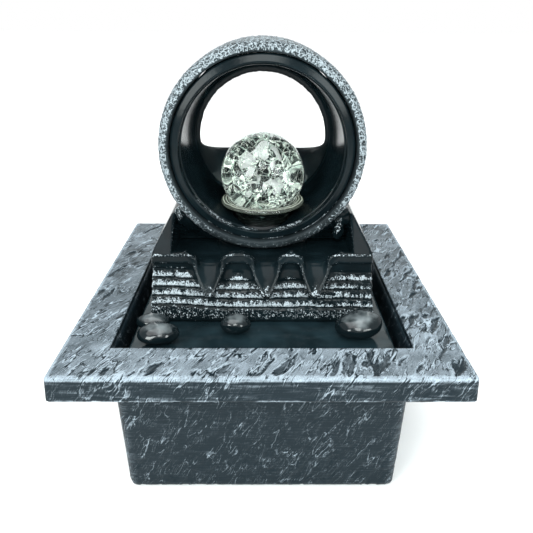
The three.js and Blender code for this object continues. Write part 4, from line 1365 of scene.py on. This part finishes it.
def cup_finish():
    """Thick moulded acrylic, milky green in its rim and dark and clear below."""
    made, graph, shader, at = material("cup_acrylic")
    ripple = graph.noise(at, 0.15 / MM, 2.0)
    level = graph.math("MULTIPLY_ADD", ripple, 3.0 * MM, graph.height(at))
    milky = graph.step(level, 0.1515, 0.1550)
    out = graph.vector("SUBTRACT", at, (BALL[0] * MM, BALL[1] * MM, 0))
    out = graph.vector("MULTIPLY", out, (1, 1, 0))
    radius = graph.vector("LENGTH", out).node.outputs["Value"]
    bent = graph.math("MULTIPLY_ADD", ripple, 1.2 * MM, radius)
    rings = graph.math("SINE", graph.math("MULTIPLY", bent, 3.6 / MM))
    # The pale rings glow: painted light of the lamp below.
    lines = graph.math("MULTIPLY", graph.step(rings, 0.2, 1.0, 0.12, 1.0), milky)
    body = graph.mix(milky, (0.02, 0.03, 0.03, 1.0), (0.30, 0.36, 0.31, 1.0))
    graph.dress(
        shader,
        Base_Color=graph.mix(lines, body, (0.92, 0.96, 0.86, 1.0)),
        Emission_Strength=graph.step(lines, 0.0, 1.0, 0.0, 0.32),
        Emission_Color=(0.82, 0.92, 0.76, 1.0),
        Roughness=0.06,
        Transmission_Weight=0.9,
        IOR=1.45,
    )
    graph.bump(shader, ripple, 0.3, 0.5)
    return made


def glass_cup():
    """The clear cup with a thick rolled rim."""
    seat = BALL_RADIUS + WATER_FILM
    bottom, rim = CUP[0][2], CUP[1][2] - 0.6
    dish = [(r, BALL[2] - math.sqrt(seat**2 - r**2)) for r in np.linspace(4.3, 19.2, 12)]
    outline = dish + [
        (20.6, rim - 0.1),
        (21.3, rim + 0.5),
        (22.0, rim + 0.6),
        (22.6, rim + 0.1),
        (23.3, rim + 0.6),
        (24.0, rim + 0.5),
        (24.5, rim - 0.1),
        (25.1, rim - 0.2),
        (25.5, rim - 1.2),
        (25.0, rim - 2.0),
        (22.8, rim - 2.8),
        (20.6, rim - 3.8),
        (18.4, rim - 6.4),
        (16.4, rim - 9.6),
        (15.9, CUP_FLOOR + 0.2),
        (15.9, bottom),
        (14.4, bottom),
        (14.4, CUP_FLOOR),
        (4.3, CUP_FLOOR),
    ]
    mesh = turned("glass_cup", refine(outline, 0.4, 0.4), (BALL[0], BALL[1], 0), "Z", 128)
    return settle(mesh, "top", cup_finish(), "acrylic", "ball_cup")


# ---------------------------------------------------------------- Carried-over nodes

# colour, roughness and metallic of each material slot
FINISHES = {
    "rubber": ((0.015, 0.015, 0.016), 0.75, 0.0),
    "pump_plastic": ((0.016, 0.018, 0.021), 0.42, 0.0),
    "steel": ((0.55, 0.56, 0.58), 0.30, 1.0),
    "cable": ((0.012, 0.013, 0.015), 0.45, 0.0),
    "copper": ((0.62, 0.26, 0.12), 0.32, 1.0),
    "epoxy": ((0.02, 0.022, 0.024), 0.25, 0.0),
    "ferrite": ((0.04, 0.042, 0.046), 0.5, 0.0),
    "shaft_ceramic": ((0.80, 0.79, 0.75), 0.3, 0.0),
    "foam": ((0.03, 0.034, 0.038), 0.95, 0.0),
    "board": ((0.015, 0.12, 0.05), 0.35, 0.0),
    "led": ((0.90, 0.88, 0.60), 0.25, 0.0),
    "vinyl": ((0.70, 0.78, 0.78), 0.25, 0.0),
    "acrylic": ((0.80, 0.88, 0.84), 0.15, 0.0),
}
LED_GLOW = {"Emission_Color": (0.9, 1.0, 0.92, 1.0), "Emission_Strength": 6.0}


def softened(node, body, finish, slot):
    """A copy of a node of the frame with its edges rounded."""
    shape = bmesh.new()
    shape.from_mesh(frame["nodes"][node].data)
    bmesh.ops.remove_doubles(shape, verts=shape.verts[:], dist=0.005 * MM)
    bmesh.ops.dissolve_limit(shape, angle_limit=math.radians(2), verts=shape.verts[:], edges=shape.edges[:])
    sharp = [e for e in shape.edges if len(e.link_faces) == 2 and e.calc_face_angle(0) > math.radians(35)]
    bevel = {"offset": 0.35 * MM, "segments": 2, "profile": 0.6, "affect": "EDGES", "clamp_overlap": True}
    bmesh.ops.bevel(shape, geom=sharp, **bevel)
    mesh = poured(shape, bpy.data.meshes.new(node + "_soft"))
    mesh.set_sharp_from_angle(angle=math.radians(40))
    return settle(mesh, body, finish, slot, node)


def inner_parts():
    """The pump, its leads, the light, the screws and the feet."""
    slots = {s["node"]: s["material_slot"] for s in frame["record"]["subparts"]}
    bodies = {node: body for body, nodes in frame["record"]["behaviour"]["bodies"].items() for node in nodes}
    made = {}
    for slot, (colour, roughness, metallic) in FINISHES.items():
        glow = LED_GLOW if slot == "led" else {}
        made[slot] = plain(slot + "_finish", colour, roughness, metallic, **glow)
    for node, slot in slots.items():
        if slot in FINISHES and not frame["nodes"][node].hide_render:
            softened(node, bodies[node], made[slot], slot)


# ---------------------------------------------------------------- Stage

CAMERA_PLACE = (-0.1, -308.7, 255.8)
FLOOR_HALF = 9000
SKY_COLOUR = (0.94, 0.98, 1.0)
SUN_FROM = (-0.22, -0.12, 1.0)
LAMP_COLOUR = (0.93, 1.0, 0.99)
LAMP_AIM = (0, 0, 0.12)  # the lamps' places and sizes are in metres
# share of the key light's power, size and place of each lamp
LAMPS = {
    "key_left": (1.0, 0.33, (-0.50, -0.67, 0.44)),
    "key_right": (0.8, 0.32, (0.50, -0.67, 0.44)),
    "key_top": (0.8, 0.32, (0.0, -0.74, 0.72)),
    "behind": (1.2, 0.9, (0.0, 1.1, 0.62)),
}


def lamp(name, power, size, place):
    """A soft square light that faces the fountain."""
    light = bpy.data.lights.new(name, "AREA")
    light.energy, light.size, light.color = power, size, LAMP_COLOUR
    turn = (Vector(LAMP_AIM) - Vector(place)).to_track_quat("-Z", "Y").to_matrix().to_4x4()
    placed(name, light).matrix_world = Matrix.Translation(place) @ turn


def stage(settings):
    """A pale floor, a bright sky, soft lights and the camera."""
    finish, graph, shader, at = material("pale_floor")
    speck = graph.noise(at, 2.0, 2.0)
    graph.dress(shader, Base_Color=graph.mix(speck, rgba((0.95,) * 3), rgba((0.97,) * 3)), Roughness=0.9)
    corners = [(x * FLOOR_HALF, y * FLOOR_HALF, 0) for x, y in ((-1, -1), (1, -1), (1, 1), (-1, 1))]
    mesh = new_mesh("floor", corners, [(0, 1, 2, 3)])
    mesh.materials.append(finish)
    placed("floor", mesh)
    world = bpy.data.worlds.new("sky")
    world.use_nodes = True
    graph = Graph(world.node_tree)
    seen = graph.add("ShaderNodeLightPath").outputs["Is Camera Ray"]
    graph.dress(
        world.node_tree.nodes["Background"],
        Color=graph.mix(seen, rgba(SKY_COLOUR), (1.0, 1.0, 1.0, 1.0)),
        Strength=graph.step(seen, 0.0, 1.0, settings.fill, 1.0),
    )
    bpy.context.scene.world = world
    sun = bpy.data.lights.new("daylight", "SUN")
    sun.energy, sun.angle = settings.sun, math.radians(60)
    placed("daylight", sun).matrix_world = Vector(SUN_FROM).to_track_quat("Z", "Y").to_matrix().to_4x4()
    for name, (share, size, place) in LAMPS.items():
        lamp(name, settings.key * share, size, place)
    camera = bpy.data.cameras.new("camera")
    camera.lens, camera.sensor_width, camera.clip_start = settings.lens, 36.0, 0.01
    tilt = Matrix.Rotation(math.pi / 2 - settings.tilt, 4, "X")
    turn = Matrix.Rotation(-settings.turn, 4, "Z")
    roll = Matrix.Rotation(settings.roll, 4, "Z")
    view = placed("camera", camera)
    view.matrix_world = Matrix.Translation(Vector(CAMERA_PLACE) * MM) @ turn @ tilt @ roll
    bpy.context.scene.camera = view
    bpy.context.scene.view_settings.view_transform = "Standard"


# ---------------------------------------------------------------- Operators


class FOUNTAIN_OT_basin(bpy.types.Operator):
    """Makes the slate-look tub and rim."""

    bl_idname = "fountain.basin"
    bl_label = "Tub and rim"

    def execute(self, context):
        slate_rim(context.scene.fountain_slate)
        slate_tub(context.scene.fountain_slate)
        return {"FINISHED"}


class FOUNTAIN_OT_deck(bpy.types.Operator):
    """Makes the pool deck and its pebbles."""

    bl_idname = "fountain.deck"
    bl_label = "Deck and pebbles"

    def execute(self, context):
        settings = context.scene.fountain_resin
        pool_deck(settings)
        finish = pebble_finish(settings)
        leans = {"pebble_front_left": 0.3, "pebble_rear_left": 0.0, "pebble_middle": 0.0, "pebble_right": 0.6}
        for seed, (name, lean) in enumerate(leans.items()):
            pebble(name, finish, lean, 150 + 3 * seed)
        return {"FINISHED"}


class FOUNTAIN_OT_block(bpy.types.Operator):
    """Makes the brick block with its spouts, and the rocks that cradle the ring."""

    bl_idname = "fountain.block"
    bl_label = "Block and rocks"

    def execute(self, context):
        settings = context.scene.fountain_resin
        brick_block(settings)
        rock(-1, settings)
        rock(1, settings)
        return {"FINISHED"}


class FOUNTAIN_OT_ring(bpy.types.Operator):
    """Makes the ring's rough band and its smooth frame."""

    bl_idname = "fountain.ring"
    bl_label = "Ring"

    def execute(self, context):
        settings = context.scene.fountain_resin
        ring_band(settings)
        ring_frame(settings)
        return {"FINISHED"}


class FOUNTAIN_OT_crystal(bpy.types.Operator):
    """Makes the crackled ball and its cup."""

    bl_idname = "fountain.crystal"
    bl_label = "Ball and cup"

    def execute(self, context):
        settings = context.scene.fountain_crystal
        crystal_ball(settings)
        crackle(settings)
        glass_cup()
        return {"FINISHED"}


class FOUNTAIN_OT_inner_parts(bpy.types.Operator):
    """Finishes the pump, the light, the leads, the screws and the feet."""

    bl_idname = "fountain.inner_parts"
    bl_label = "Pump, light and fixings"

    def execute(self, context):
        inner_parts()
        return {"FINISHED"}


class FOUNTAIN_OT_stage(bpy.types.Operator):
    """Makes the floor, the lights and the camera."""

    bl_idname = "fountain.stage"
    bl_label = "Stage"

    def execute(self, context):
        stage(context.scene.fountain_stage)
        return {"FINISHED"}


OPERATORS = [
    FOUNTAIN_OT_stage,
    FOUNTAIN_OT_basin,
    FOUNTAIN_OT_deck,
    FOUNTAIN_OT_block,
    FOUNTAIN_OT_ring,
    FOUNTAIN_OT_crystal,
    FOUNTAIN_OT_inner_parts,
]
SETTINGS = {
    "fountain_slate": SlateSettings,
    "fountain_resin": ResinSettings,
    "fountain_crystal": CrystalSettings,
    "fountain_stage": StageSettings,
}


class FOUNTAIN_PT_panel(bpy.types.Panel):
    """Lists the fountain's pieces and their settings."""

    bl_idname = "FOUNTAIN_PT_panel"
    bl_label = "Fountain"
    bl_space_type = "VIEW_3D"
    bl_region_type = "UI"
    bl_category = "Fountain"

    def draw(self, context):
        for operator in OPERATORS:
            self.layout.operator(operator.bl_idname)
        for name, group in SETTINGS.items():
            column = self.layout.column(heading=group.__doc__)
            for key in group.__annotations__:
                column.prop(getattr(context.scene, name), key)


def register():
    for group in SETTINGS.values():
        bpy.utils.register_class(group)
    for name, group in SETTINGS.items():
        setattr(bpy.types.Scene, name, PointerProperty(type=group))
    for operator in OPERATORS:
        bpy.utils.register_class(operator)
    bpy.utils.register_class(FOUNTAIN_PT_panel)


def unregister():
    bpy.utils.unregister_class(FOUNTAIN_PT_panel)
    for operator in reversed(OPERATORS):
        bpy.utils.unregister_class(operator)
    for name, group in SETTINGS.items():
        delattr(bpy.types.Scene, name)
        bpy.utils.unregister_class(group)


def main():
    register()
    for operator in OPERATORS:
        family, name = operator.bl_idname.split(".")
        getattr(getattr(bpy.ops, family), name)()


if __name__ == "__main__":
    main()
